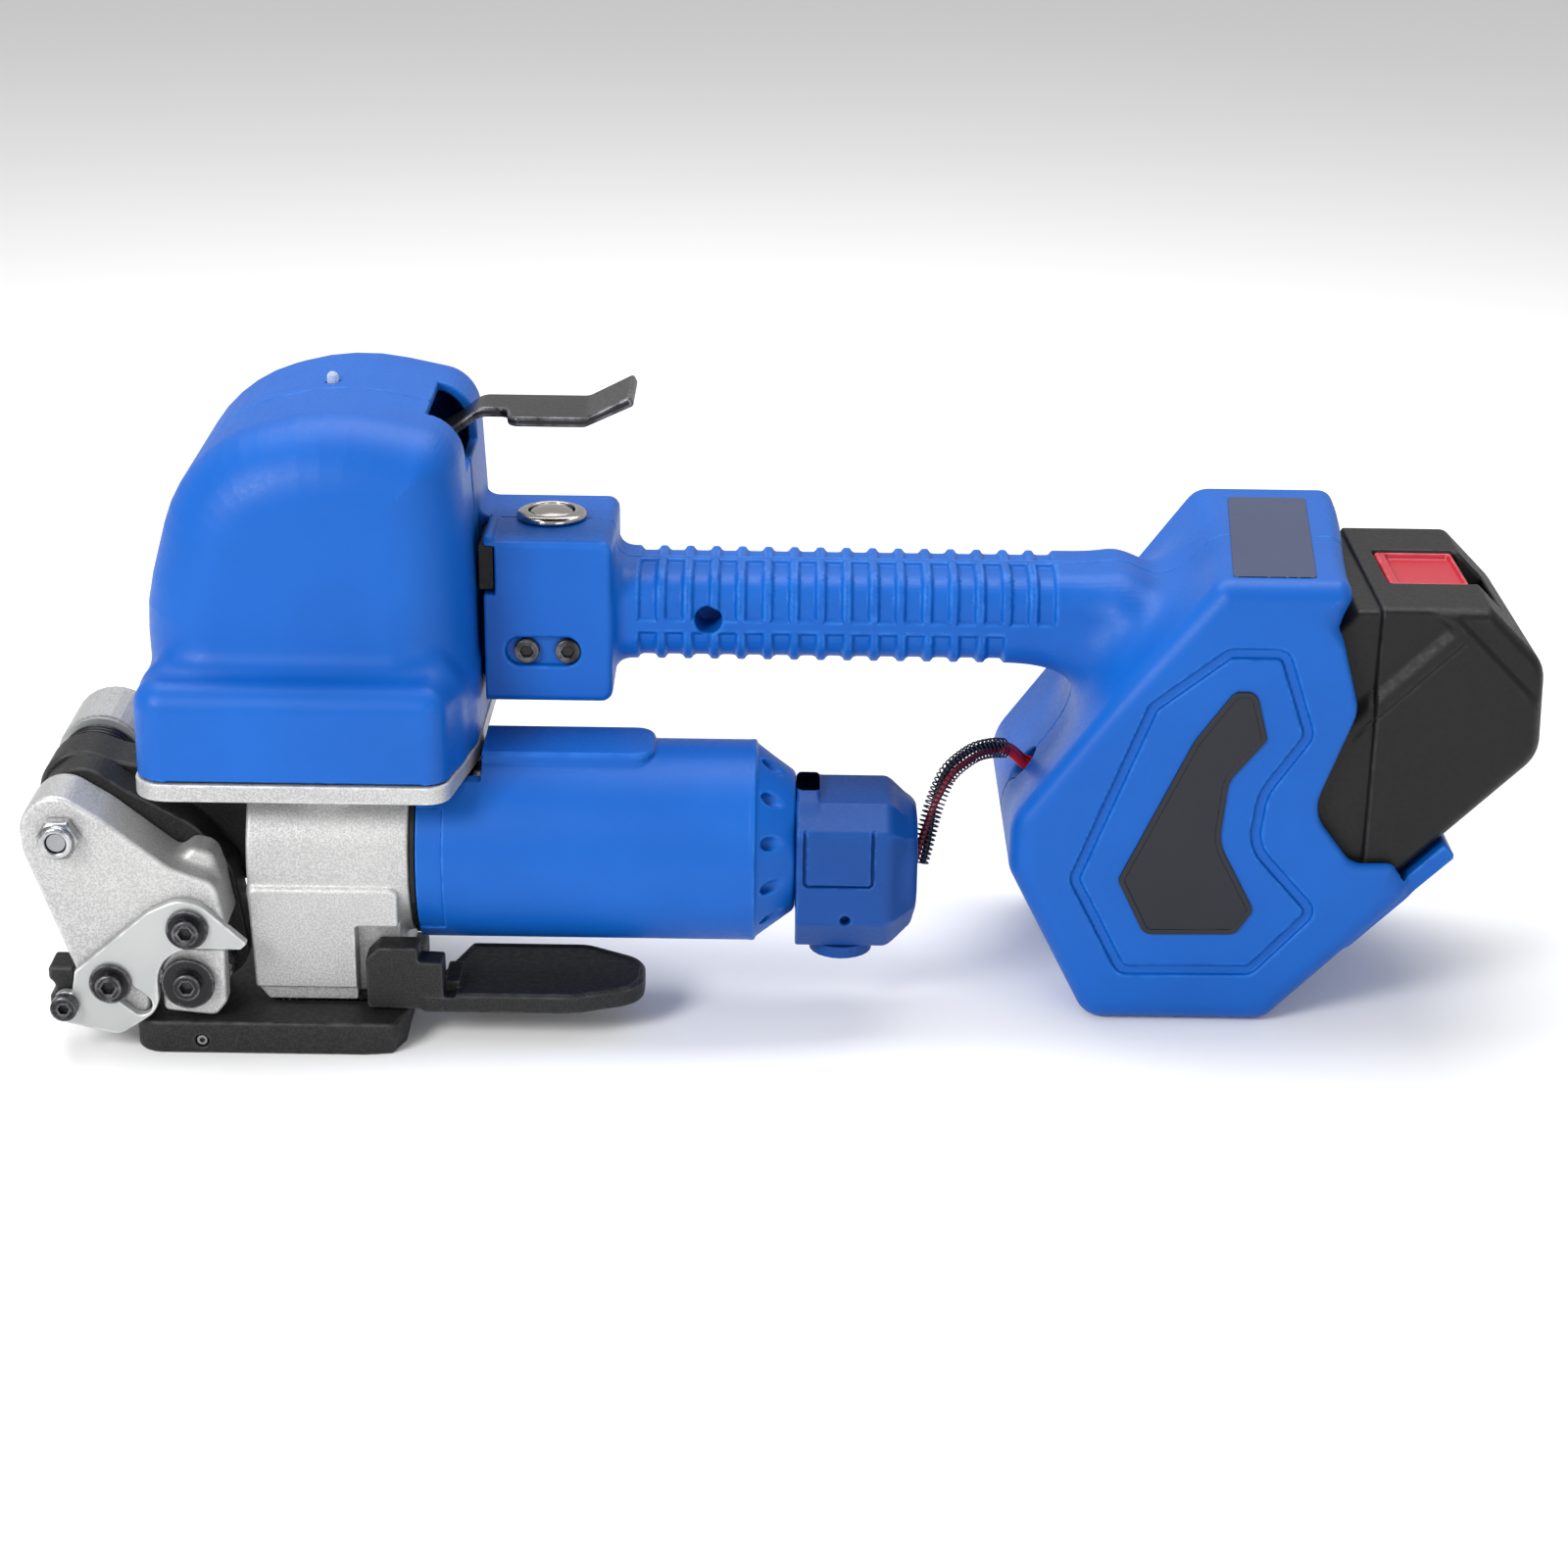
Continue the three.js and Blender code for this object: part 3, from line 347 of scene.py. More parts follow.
class Nodes:
    """A short way to lay out shader nodes."""

    def __init__(self, material):
        self.tree = material.node_tree
        self.coordinates = self.add("ShaderNodeTexCoord").outputs["Object"]

    def add(self, kind, **inputs):
        node = self.tree.nodes.new(kind)
        for key, value in inputs.items():
            self.feed(node, key, value)
        return node

    def feed(self, node, key, value):
        socket = node.inputs[key if isinstance(key, int) else key.replace("_", " ")]
        if isinstance(value, bpy.types.NodeSocket):
            self.tree.links.new(value, socket)
        else:
            socket.default_value = value

    def noise(self, per_mm, detail=2.0, stretch=(1, 1, 1), roughness=0.5):
        mapping = self.add("ShaderNodeMapping", Vector=self.coordinates, Scale=stretch)
        node = self.add(
            "ShaderNodeTexNoise",
            Vector=mapping.outputs[0],
            Scale=per_mm / MM,
            Detail=detail,
            Roughness=roughness,
        )
        return node.outputs["Fac"]

    def fit(self, value, low, high, to_low=0.0, to_high=1.0):
        node = self.add("ShaderNodeMapRange")
        node.clamp = True
        for i, v in enumerate((value, low, high, to_low, to_high)):
            self.feed(node, i, v)
        return node.outputs[0]

    def math(self, operation, a, b=0.0):
        node = self.add("ShaderNodeMath")
        node.operation = operation
        self.feed(node, 0, a)
        self.feed(node, 1, b)
        return node.outputs[0]

    def mix(self, factor, a, b):
        node = self.add("ShaderNodeMix")
        node.data_type = "RGBA"
        self.feed(node, 0, factor)
        self.feed(node, 6, a)
        self.feed(node, 7, b)
        return node.outputs[2]


def finish_material(
    name,
    base,
    shade,
    worn,
    roughness=(0.4, 0.5),
    metallic=0.0,
    grain=2.0,
    grain_depth=0.02,
    speckle=0.0,
    wear=0.6,
    brushed=None,
    coat=0.0,
    specular=0.5,
):
    """A moulded, cast, blackened or machined surface: grain, drifting colour, edge wear and speckle."""
    material = bpy.data.materials.new(name)
    material.use_nodes = True
    n = Nodes(material)
    shader = n.tree.nodes["Principled BSDF"]
    drift = n.fit(n.noise(0.035, 3.0), 0.3, 0.7)
    fine = n.noise(grain, 3.0, roughness=0.6)
    colour = n.mix(drift, base, shade)
    if speckle:
        spots = n.fit(n.noise(grain * 1.15, 1.0), 0.42, 0.6, 0.0, speckle)
        colour = n.mix(spots, colour, worn)
    edge = n.add("ShaderNodeAttribute")
    edge.attribute_name = "edge"
    edges = n.fit(edge.outputs["Fac"], 0.35, 1.1, 0.0, wear)
    patchy = n.math("MULTIPLY", edges, n.fit(n.noise(0.25, 4.0), 0.35, 0.65))
    colour = n.mix(patchy, colour, worn)
    n.feed(shader, "Base Color", colour)
    n.feed(shader, "Roughness", n.fit(n.noise(grain * 0.4, 3.0), 0.3, 0.7, *roughness))
    shader.inputs["Metallic"].default_value = metallic
    shader.inputs["Specular IOR Level"].default_value = specular
    shader.inputs["Coat Weight"].default_value = coat
    shader.inputs["Coat Roughness"].default_value = 0.25
    height = fine
    if brushed:
        height = n.noise(grain, 2.0, stretch=brushed)
    bump = n.add("ShaderNodeBump", Strength=1.0, Distance=grain_depth * MM, Height=height)
    n.feed(shader, "Normal", bump.outputs["Normal"])
    return material


def paint(objects, material):
    for o in objects:
        o.data.materials.clear()
        o.data.materials.append(material)


BLUE = finish_material(
    "moulded_blue", srgb(1, 80, 165), srgb(2, 86, 174), srgb(44, 122, 208),
    (0.4, 0.5), grain=2.2, grain_depth=0.035, wear=0.4, specular=0.25,
)  # fmt: skip
DARK_BLUE = finish_material(
    "cap_blue", srgb(1, 58, 126), srgb(2, 64, 136), srgb(40, 98, 176),
    (0.4, 0.5), grain=2.2, grain_depth=0.035, wear=0.4, specular=0.25,
)  # fmt: skip
CAST = finish_material(
    "cast_silver", srgb(172, 172, 171), srgb(160, 160, 160), srgb(214, 214, 213),
    (0.42, 0.58), 0.6, grain=2.1, grain_depth=0.08, speckle=0.45, wear=0.7,
)  # fmt: skip
PLATE = finish_material(
    "satin_plate", srgb(176, 178, 177), srgb(166, 168, 168), srgb(215, 215, 215),
    (0.34, 0.44), 0.6, grain=3.0, grain_depth=0.012, wear=0.8,
)  # fmt: skip
BLACK_CAST = finish_material(
    "black_cast", srgb(12, 12, 13), srgb(17, 17, 18), srgb(70, 70, 71),
    (0.45, 0.62), grain=1.7, grain_depth=0.09, speckle=0.16, wear=0.5, specular=0.35,
)  # fmt: skip
BLACK_STEEL = finish_material(
    "black_steel", srgb(26, 26, 28), srgb(34, 34, 36), srgb(112, 112, 116),
    (0.24, 0.36), 0.6, grain=2.5, grain_depth=0.015, wear=0.8,
)  # fmt: skip
BLACK_PLASTIC = finish_material(
    "black_plastic", srgb(9, 9, 10), srgb(13, 13, 14), srgb(48, 48, 49),
    (0.42, 0.56), grain=1.9, grain_depth=0.06, wear=0.5, specular=0.3,
)  # fmt: skip
STEEL = finish_material(
    "machined_steel", srgb(150, 151, 153), srgb(136, 137, 140), srgb(210, 210, 212),
    (0.22, 0.34), 1.0, grain=4.0, grain_depth=0.012, wear=0.7, brushed=(1, 0.15, 1),
)  # fmt: skip
CHROME = finish_material(
    "button_chrome", srgb(186, 180, 174), srgb(176, 171, 166), srgb(226, 224, 220),
    (0.12, 0.2), 1.0, grain=4.0, grain_depth=0.006, wear=0.4,
)  # fmt: skip
RED = finish_material(
    "red_plastic", srgb(168, 20, 40), srgb(176, 26, 46), srgb(214, 96, 108),
    (0.34, 0.44), grain=2.2, grain_depth=0.02, wear=0.4,
)  # fmt: skip
SLEEVE = finish_material(
    "red_sleeve", srgb(206, 22, 24), srgb(190, 16, 20), srgb(236, 90, 86),
    (0.3, 0.4), grain=2.5, grain_depth=0.012, wear=0.3,
)  # fmt: skip
NAMEPLATE = finish_material(
    "nameplate_film", srgb(28, 29, 36), srgb(31, 32, 39), srgb(60, 62, 70),
    (0.4, 0.5), grain=5.0, grain_depth=0.004, wear=0.0, specular=0.3,
)  # fmt: skip
LABEL = finish_material(
    "label_film", srgb(38, 50, 84), srgb(42, 54, 88), srgb(90, 98, 126),
    (0.3, 0.38), grain=5.0, grain_depth=0.004, wear=0.0,
)  # fmt: skip
BRONZE = finish_material(
    "bronze", srgb(168, 112, 62), srgb(150, 98, 55), srgb(210, 170, 120),
    (0.3, 0.42), 1.0, grain=3.0, grain_depth=0.02, wear=0.6,
)  # fmt: skip
BOARD = finish_material(
    "board_green", srgb(22, 84, 48), srgb(28, 96, 56), srgb(80, 140, 100),
    (0.4, 0.5), grain=3.0, grain_depth=0.01, wear=0.3,
)  # fmt: skip
GUARD = finish_material(
    "guard_wire", srgb(36, 40, 66), srgb(44, 46, 70), srgb(150, 150, 165),
    (0.22, 0.34), 0.85, grain=4.0, grain_depth=0.01, wear=0.8,
)  # fmt: skip
WIRE_RED = finish_material(
    "wire_red", srgb(120, 14, 22), srgb(134, 18, 26), srgb(190, 80, 80),
    (0.4, 0.5), grain=2.5, grain_depth=0.01, wear=0.2,
)  # fmt: skip


def clear_lens():
    material = bpy.data.materials.new("clear_lens")
    material.use_nodes = True
    n = Nodes(material)
    shader = n.tree.nodes["Principled BSDF"]
    cloud = n.fit(n.noise(0.8, 2.0), 0.3, 0.7)
    n.feed(shader, "Base Color", n.mix(cloud, srgb(214, 224, 238), srgb(232, 238, 246)))
    n.feed(shader, "Roughness", n.fit(n.noise(2.0), 0.3, 0.7, 0.06, 0.14))
    shader.inputs["Transmission Weight"].default_value = 0.55
    shader.inputs["IOR"].default_value = 1.49
    bump = n.add("ShaderNodeBump", Strength=1.0, Distance=0.004 * MM, Height=n.noise(3.0))
    n.feed(shader, "Normal", bump.outputs["Normal"])
    return material


LENS = clear_lens()

# ---------------------------------------------------------------- blue shells
DOME = section(
    [
        [-156, 30, 2],
        [-157.8, 108, 50],
        [-147, 147, 36],
        [-112, 157.5, 55],
        [-80, 151, 11],
        [-77.8, 112, 40],
        [-76.2, 30, 2],
    ]
)
SKIRT = section([[-158, -60, 8], [-82.5, -60, 6], [-77, -30, 10], [-76, 39, 12], [-158, 39, 14]])
HOUSING = section(
    [
        [78, 0, 7],
        [124, 0, 7],
        [160, 37, 4],
        [153, 45, 3],
        [143, 44.7, 6],
        [132, 59, 10],
        [141.5, 86, 10],
        [135.5, 107.5, 3],
        [140.5, 118.5, 4],
        [105.5, 118.5, 6],
        [79, 86, 6],
        [57, 56, 8],
        [57, 41, 8],
    ]
)
CRADLE = section([[143, 19.8, 1], [169.5, 45.8, 1], [166.8, 49.6, 1], [143, 27, 1]])
GROOVE = section(
    [
        [108.7, 100.9, 3],
        [122.2, 100.9, 3],
        [129.6, 79.6, 4],
        [119.2, 64, 13],
        [117.6, 50, 11],
        [133.7, 32.1, 3],
        [119, 15.6, 3],
        [86.3, 15.2, 3],
        [73.3, 40.2, 3],
        [90.7, 86.6, 4],
    ]
)
BLOCK = section(rectangle(-82, -43.5, 78.5, 120.8, 3))
GRIP = section(rectangle(-17, 17, 86.7, 110.8, 9))
WALL = 2.4
SEAM = -7.0
BUTTON_X = -59.8


def hood(p, inset=0.0):
    x, y, z = p
    dome = slab(DOME(x, z) + inset, y, -47 + inset, 44 - inset, 19 - inset, 19 - inset)
    skirt = slab(SKIRT(x, y) + inset, z, 55, 95 - inset, 1, 6.5 - inset)
    fold = 1 + 8 * ramp(-y, 36, 46)
    return np.maximum(soft_min(dome, skirt, fold), 71 - z)


def hood_hollow(p):
    inner = np.maximum(hood(p, WALL), p[X] + 79)
    return merge(0.3, inner, brick(p, -154, -86, -54, 34, 60, 80, 2))


def hood_openings(p):
    """The lever's slot and the status lamp's hole."""
    slot = brick(p, -89, -66, -19, 11.2, 138, 165, 0.6)
    return merge(0.2, slot, rod(p, Z, 1.9, 150, 160, -114, 0, 0.1))


def windows(x, first, last, count, width):
    """How far each place is inside the nearest of a row of windows across the grip."""
    pitch = (last - first) / (count - 1)
    place = np.clip(np.round((x - first) / pitch), 0, count - 1) * pitch + first
    return width / 2 - np.abs(x - place)


def grip(p):
    x, y, z = p
    body = slab(GRIP(y, z), x, -50, 88, 1, 6)
    upper = windows(x, -34.9, 65.5, 16, 4.7)
    upper = np.minimum(upper, z - 99.4)
    upper = np.minimum(upper, np.abs(y) - 1.6)
    lower = windows(x, -34.9, 52.7, 14, 4.7)
    lower = np.minimum(lower, 96.2 - z)
    return body + 1.15 * np.maximum(ramp(upper, -0.4, 0.8), ramp(lower, -0.4, 0.8))


def handle(p):
    x, y, z = p
    block = slab(BLOCK(x, z), y, -21, 21, 2, 2)
    edge = 6.5 - 4.7 * ramp(x, 120, 134) * ramp(z, 36, 48) * (1 - ramp(z, 101, 112))
    flare = 6.5 * ramp(y, -38, 43) * ramp(z, 90, 112) * ramp(x, 118, 134)
    shell = slab(HOUSING(x - flare, z), y, -40.5, 43.5, edge, 3)
    lean = 5.5 * ramp(y, -41, -8)
    shell = soft_max(shell, 0.591 * (z - 56) - 0.806 * (x - 57 - lean), 3)
    shell = merge(2, shell, slab(CRADLE(x, z), y, -36.5, 36.5, 1, 1))
    body = soft_min(grip(p), shell, 24)
    body = soft_min(body, block, 5)
    body = soft_min(body, brick(p, -75.6, -73.2, -20, -0.5, 116, 122, 0.9), 1)
    line = np.abs(GROOVE(x, z)) - 1.25
    body = soft_max(body, -slab(line, y, -60, -39.35, 0.1, 0.4), 0.7)
    recess = slab(stadium(x, z, (-66.6, 92), (-55.3, 92), 3.75), y, -30, -19.0, 0.1, 0.4)
    body = carve(body, recess, k=0.8)
    body = carve(
        body,
        rod(p, Y, 3.4, -30, -6, -19.6, 99.4, 0.1),
        rod(p, Z, 7.5, 110, 130, BUTTON_X, 0, 0.1),
        brick(p, -79, -72.8, -40, 6, 107, 119.4, 0.3),
        k=0.7,
    )
    body = carve(body, rod(p, X, 4.2, 40, 75, 0, 55.5, 0.1), k=0.8)
    return np.maximum(body, -tunnel(p))


def cover_shape(p):
    body = np.maximum(hood(p), -hood_hollow(p))
    body = carve(body, hood_openings(p), brick(p, -79.7, -60, -9.3, 4, 104, 165, 0.4), k=0.5)
    return soft_max(body, p[Y] - SEAM + HALF_GAP, 0.5)


def rear_shape(p):
    dome = hood(p)
    joined = soft_min(dome, handle(p), 4)
    body = np.minimum(soft_max(dome, SEAM + HALF_GAP - p[Y], 0.5), soft_max(joined, 0.12 - p[Y], 0.5))
    body = np.maximum(body, -hood_hollow(p))
    body = carve(body, hood_openings(p), k=0.5)
    body = np.maximum(body, -tunnel(p))
    return carve(body, rod(p, Z, 7.5, 110, 130, BUTTON_X, 0, 0.1), k=0.5)


def front_shape(p):
    return soft_max(soft_max(handle(p), p[Y] + 0.12, 0.5), BLOCK_LEFT - p[X], 0.5)


NAME_LINE = section(
    [
        [115.8, 91.2, 3],
        [119.2, 78.6, 2],
        [110.4, 67.5, 7],
        [109, 51, 12],
        [118.8, 32.6, 2.5],
        [114.5, 25.9, 3],
        [91.5, 25.6, 3],
        [84.2, 40.4, 2.5],
        [101.2, 78, 5],
        [110.4, 91.2, 3],
    ]
)


def plate_film_shape(p):
    """A plate with a raised rim, on the front of the housing."""
    x, y, z = p
    line = NAME_LINE(x, z)
    body = slab(line, y, -41.2, -40.3, 0.25, 0.05)
    return carve(body, slab(line + 1.4, y, -42, -40.95, 0.05, 0.05), k=0.15)


def label_shape(p):
    x, y, z = p
    lie = 0.1 * (y + 34)
    film = section(rectangle(109, 129.5, -34, 33, 1.5))(x - lie, y)
    return slab(film, z, 118.3, 118.75, 0.1, 0.1)


# ---------------------------------------------------------------- battery
BATTERY_TURN = math.radians(45)
BATTERY_FRAME = np.array(Matrix.Translation((155, 0, 39)) @ Matrix.Rotation(-BATTERY_TURN, 4, "Y"))
BATTERY_LINE = section(
    [[-44.2, 0, 4], [47.5, 0, 10], [63.8, 17.5, 10], [63.8, 38, 3], [40.3, 61.5, 3], [-44.2, 61.5, 3]]
)


def battery_local(p):
    """Bench coordinates in the battery's own frame: along the slide, across, towards the dock."""
    c, s = math.cos(BATTERY_TURN), math.sin(BATTERY_TURN)
    x, z = p[X] - 155, p[Z] - 39
    return c * x + s * z, p[Y], -s * x + c * z


def battery_bench(q):
    c, s = math.cos(BATTERY_TURN), math.sin(BATTERY_TURN)
    return 155 + c * q[0] - s * q[2], q[1], 39 + s * q[0] + c * q[2]


def tunnel(p):
    return brick(battery_local(p), -47.2, 140, -37.7, 37.7, -0.8, 62.3, 0.3)


def battery_shape(q):
    """The case, in its own frame: side panels set off by a ridge, a collar at the mouth, a latch pocket."""
    u, y, v = q
    body = slab(BATTERY_LINE(u, v), y, -37, 37, 6, 6)
    set_back = 2.6 * ramp(v, 38, 43.5) * (1 - ramp(u, 52, 56))
    set_back = np.maximum(set_back, 1.5 * ramp(u, 54.8, 57.5))
    seam = 0.55 * np.exp(-(((v - 36.9) / 0.5) ** 2)) * ramp(u, 15, 19) * (1 - ramp(u, 53, 55))
    body = soft_max(body, np.abs(y) - 37 + set_back + seam, 1.2)
    p = battery_bench(q)
    body = body + 1.2 * (1 - ramp(p[X], 145.6, 146.8))
    pocket = brick(p, 151.2, 172.6, -13.4, 13.4, 102, 120, 1.2)
    body = carve(body, pocket, brick(p, 170, 180, -12.4, 12.4, 99, 120, 1.0), k=1.0)
    return body


def latch_shape(q):
    """The release latch: a pad dished towards its middle."""
    p = battery_bench(q)
    body = brick(p, 151.6, 171.6, -13.0, 13.0, 106.2, 110.5, 0.8)
    dish = brick(p, 154.2, 170.6, -11.6, 11.6, 109.1, 116, 1.0)
    return carve(body, dish, k=0.8)


# ---------------------------------------------------------------- motor barrel
def barrel_shape(p):
    x, y, z = p
    body = rod(p, X, 25.5, -91, -7, MOTOR_Y, MOTOR_Z, 0.4)
    body = merge(0.8, body, cone(p, X, 25.5, 17.5, -8, 3, MOTOR_Y, MOTOR_Z, 0.8))
    strip = section([[-90, -38, 1], [-32.5, -38, 5], [-32.5, -18, 5], [-90, -18, 1]])
    body = merge(0.8, body, slab(strip(x, y), z, 45, 71.4, 1, 1.4))
    around = np.hypot(y - MOTOR_Y, z - MOTOR_Z)
    step = np.maximum(brick(p, -95, -84.5, -60, 0, 27.5, 60, 0.3), 25.0 - around)
    body = soft_max(body, -step, 0.3)
    body = np.maximum(body, -rod(p, X, 22.8, -95, -10, MOTOR_Y, MOTOR_Z, 0.3))
    for k in range(12):
        angle = math.radians(30 * k + 10)
        place = MOTOR_Y + 21.6 * math.cos(angle), MOTOR_Z + 21.6 * math.sin(angle)
        body = carve(body, rod(p, X, 1.7, -14, 6, *place, 0.1), k=0.8)
    return np.maximum(body, np.minimum(z - 65.4, -75.4 - x))


CAP_LINE = section(
    [
        [-46.5, 29.6, 2],
        [-37.5, 19.6, 2],
        [-18.5, 19.6, 2],
        [-9.5, 29.6, 2],
        [-9.5, 54, 2],
        [-18.5, 59, 2],
        [-37.5, 59, 2],
        [-46.5, 54, 2],
    ]
)


def cap_shape(p):
    x, y, z = p
    line = CAP_LINE(y, z)
    body = slab(line, x, 3.3, 33, 0.6, 1.5)
    body = soft_max(body, line + 0.9 * (x - 26.5), 1.2)
    body = soft_min(body, rod(p, X, 14.5, 26, 33.4, -28, 41, 2.0), 2.5)
    body = merge(
        1.0, body, rod(p, X, 5.2, 30, 34, -27, 38, 0.8),
        rod(p, X, 17.4, 3.3, 9, MOTOR_Y, MOTOR_Z, 1.0),
    )  # fmt: skip
    panel = np.abs(slab(section(rectangle(5.4, 22.4, 39.8, 57.5, 1.2))(x, z), y, -60, -40, 0.1, 0.1)) - 0.3
    body = soft_max(body, -np.maximum(panel, y + 45.4), 0.3)
    screw = rod(p, Y, 1.3, -60, -43, 15.8, 30.5, 0.1)
    return carve(body, screw, rod(p, X, 2.2, 20, 50, -27, 38, 0.1), k=0.5)


# ---------------------------------------------------------------- head castings
PLATE_LINE = section(
    [[-158.4, -60.6, 8], [-82, -60.6, 6], [-76.6, -30, 10], [-75.6, 39.6, 12], [-158.4, 39.6, 14]],
)  # fmt: skip


def plate_shape(p):
    x, y, z = p
    body = slab(PLATE_LINE(x, y), z, 66, 70.7, 0.7, 0.5)
    return carve(body, rod(p, Z, 9, 60, 80, -113.6, MOTOR_Y, 0.1), k=0.4)


GEARBOX_LINE = section(
    [[-131.8, 13.4, 1], [-128.6, 9.4, 1], [-104, 9.4, 1], [-95.6, 14, 1], [-95.6, 40, 2], [-133, 40, 2]],
)  # fmt: skip


def gearbox_shape(p):
    x, y, z = p
    barrel = rod(p, X, 24, -133, -92.6, MOTOR_Y, MOTOR_Z, 1.0)
    boss = rod(p, Z, 18.5, MOTOR_Z, 65.7, -113.6, MOTOR_Y, 0.6)
    block = slab(GEARBOX_LINE(x, z), y, -53, -14, 1.0, 0.5)
    rib = brick(p, -131, -96, -33, -10, 8.9, 40, 0.5)
    body = merge(2.0, barrel, merge(1.2, block, rib), boss)
    cove = slab(section(rectangle(-170, -104.2, 0, 13.2, 0.2))(x, z), y, -60, -51.6, 0.1, 0.4)
    body = carve(body, cove, k=0.6)
    body = np.maximum(body, -rod(p, X, 20, -129, -90, MOTOR_Y, MOTOR_Z, 0.3))
    tools = [
        rod(p, X, 5, -135, -126, MOTOR_Y, MOTOR_Z, 0.1),
        rod(p, Z, 9, MOTOR_Z, 80, -113.6, MOTOR_Y, 0.1),
        brick(p, -106.3, -90, -62, -48.2, 5, 30, 0.5),
        rod(p, Y, 2.3, -52, -36, -98, 19.5, 0.1),
        brick(p, -140, -129.8, -46.4, -33.8, 4, 48, 0.3),
    ]
    return np.maximum(carve(body, *tools, k=0.5), z - 65.7)


FOOT_LINE = section(
    [[-160.8, -64, 7], [-96, -64, 2], [-93, -56, 3], [-93, -8, 2], [-142.8, -8, 6], [-160.8, -30, 6]],
)  # fmt: skip


def foot_shape(p):
    x, y, z = p
    taper = FOOT_LINE(x, y) + 0.25 * np.maximum(4 - z, 0) * ramp(x, -104, -96)
    body = slab(taper, z, 0, 8.6, 0.6, 0.9)
    body = carve(body, brick(p, -127.5, -104.5, -50.5, -37.5, 5.6, 12, 0.1), k=0.3)
    return carve(body, rod(p, Y, 1.7, -70, -56, -144, 3.4, 0.1), k=0.5)


WORM_LINE = section([[-184, 38, 4], [-133.4, 34, 3], [-133.4, 55, 3], [-160, 65, 4], [-178, 68, 4]])


def worm_case_shape(p):
    x, y, z = p
    body = rod(p, Y, 11, -34, -20, PIVOT_X, PIVOT_Z, 1.0)
    body = merge(2.0, body, slab(WORM_LINE(x, z), y, -34, -20, 1, 1))
    body = np.maximum(body, -rod(p, Y, 9.2, -32.3, -21.7, PIVOT_X, PIVOT_Z, 0.2))
    body = np.maximum(body, -rod(p, Y, 3.4, -40, -10, PIVOT_X, PIVOT_Z, 0.1))
    return np.maximum(body, -rod(p, X, 5, -182, -130, MOTOR_Y, MOTOR_Z, 0.1))


ARM_LINE = section(
    [
        [-186.3, 62, 9],
        [-178, 69.5, 8],
        [-166, 62, 8],
        [-150, 49.2, 12],
        [-139, 45.2, 5],
        [-136.8, 33, 2],
        [-139, 30, 1],
        [-156, 30, 1],
        [-156.8, 9.5, 2],
        [-171, 11, 3],
        [-185.6, 53, 12],
    ]
)
ARM_BOSS = section([[-150, 44, 3], [-139.5, 41, 3], [-140, 50.2, 4], [-147, 52, 3]])


def arm_shape(p):
    x, y, z = p
    body = slab(ARM_LINE(x, z), y, -62, -45.5, 1.3, 1.0)
    body = merge(3.0, body, slab(ARM_BOSS(x, z), y, -55, -45.5, 2, 0.5))
    return carve(
        body,
        rod(p, Y, 3.3, -80, -30, PIVOT_X, PIVOT_Z, 0.1),
        rod(p, Y, 2.2, -80, -50, -145.8, 34.4, 0.1),
        rod(p, Y, 2.2, -80, -50, -165.5, 19.5, 0.1),
        k=0.5,
    )


CASE_LINE = section(
    [
        [-189.1, 59.3, 9.3],
        [-148.5, 5.7, 9.3],
        [-133.6, 16.9, 9.3],
        [-137.2, 42, 8],
        [-146, 53.5, 14],
        [-163, 63, 5],
        [-174.1, 70.7, 9.3],
    ]
)


def gear_case_shape(p):
    x, y, z = p
    line = CASE_LINE(x, z)
    body = slab(line, y, -45.2, -34.7, 0.6, 0.6)
    body = np.maximum(body, -slab(line + 1, y, -44.1, -30, 0.3, 0.3))
    body = np.maximum(body, -rod(p, Y, 3.4, -50, -30, PIVOT_X, PIVOT_Z, 0.1))
    body = np.maximum(body, -rod(p, Y, 4.2, -50, -40, WHEEL_X, WHEEL_Z, 0.1))
    for k in (1, 2):
        place = PIVOT_X + (WHEEL_X - PIVOT_X) * k / 3, PIVOT_Z + (WHEEL_Z - PIVOT_Z) * k / 3
        body = np.minimum(body, rod(p, Y, 1.9, -44.5, -37, *place, 0.2))
    return body


GUIDE_LINE = section(
    [
        [-174.3, 22.4, 1],
        [-155.5, 38.5, 8],
        [-148, 42, 8],
        [-142.5, 40.8, 5],
        [-131.3, 30.4, 0.6],
        [-133, 28.8, 0.6],
        [-143.5, 28.8, 4],
        [-153.8, 28.5, 9],
        [-153.9, 12, 7],
        [-164, 5.2, 4],
        [-177.8, 8.4, 1.5],
        [-177.6, 12.6, 1],
        [-175.3, 16.6, 1],
    ]
)


def guide_shape(p):
    x, y, z = p
    line = soft_min(GUIDE_LINE(x, z), np.hypot(x + 177, z - 13.4) - 3.2, 1)
    body = slab(line, y, -64.8, -62.3, 0.45, 0.2)
    slot = stadium(x, z, (-165.5, 19.5), (-158.4, 13.6), 2.8)
    return carve(
        body,
        slot,
        rod(p, Y, 2.2, -70, -60, -145.8, 34.4, 0.1),
        rod(p, Y, 1.8, -70, -60, -177, 13.4, 0.1),
        k=0.4,
    )


PRESSER_LINE = section(
    [
        [-153.4, 10.6, 1.5],
        [-140.5, 9.2, 2.5],
        [-137.6, 13, 2],
        [-137.6, 27.6, 1],
        [-150, 27.6, 3],
        [-153.4, 23, 3],
    ]
)


def presser_shape(p):
    x, y, z = p
    body = slab(PRESSER_LINE(x, z), y, -61.6, -56, 0.9, 0.6)
    return carve(body, rod(p, Y, 2.2, -70, -50, WHEEL_X, WHEEL_Z, 0.1), k=0.4)


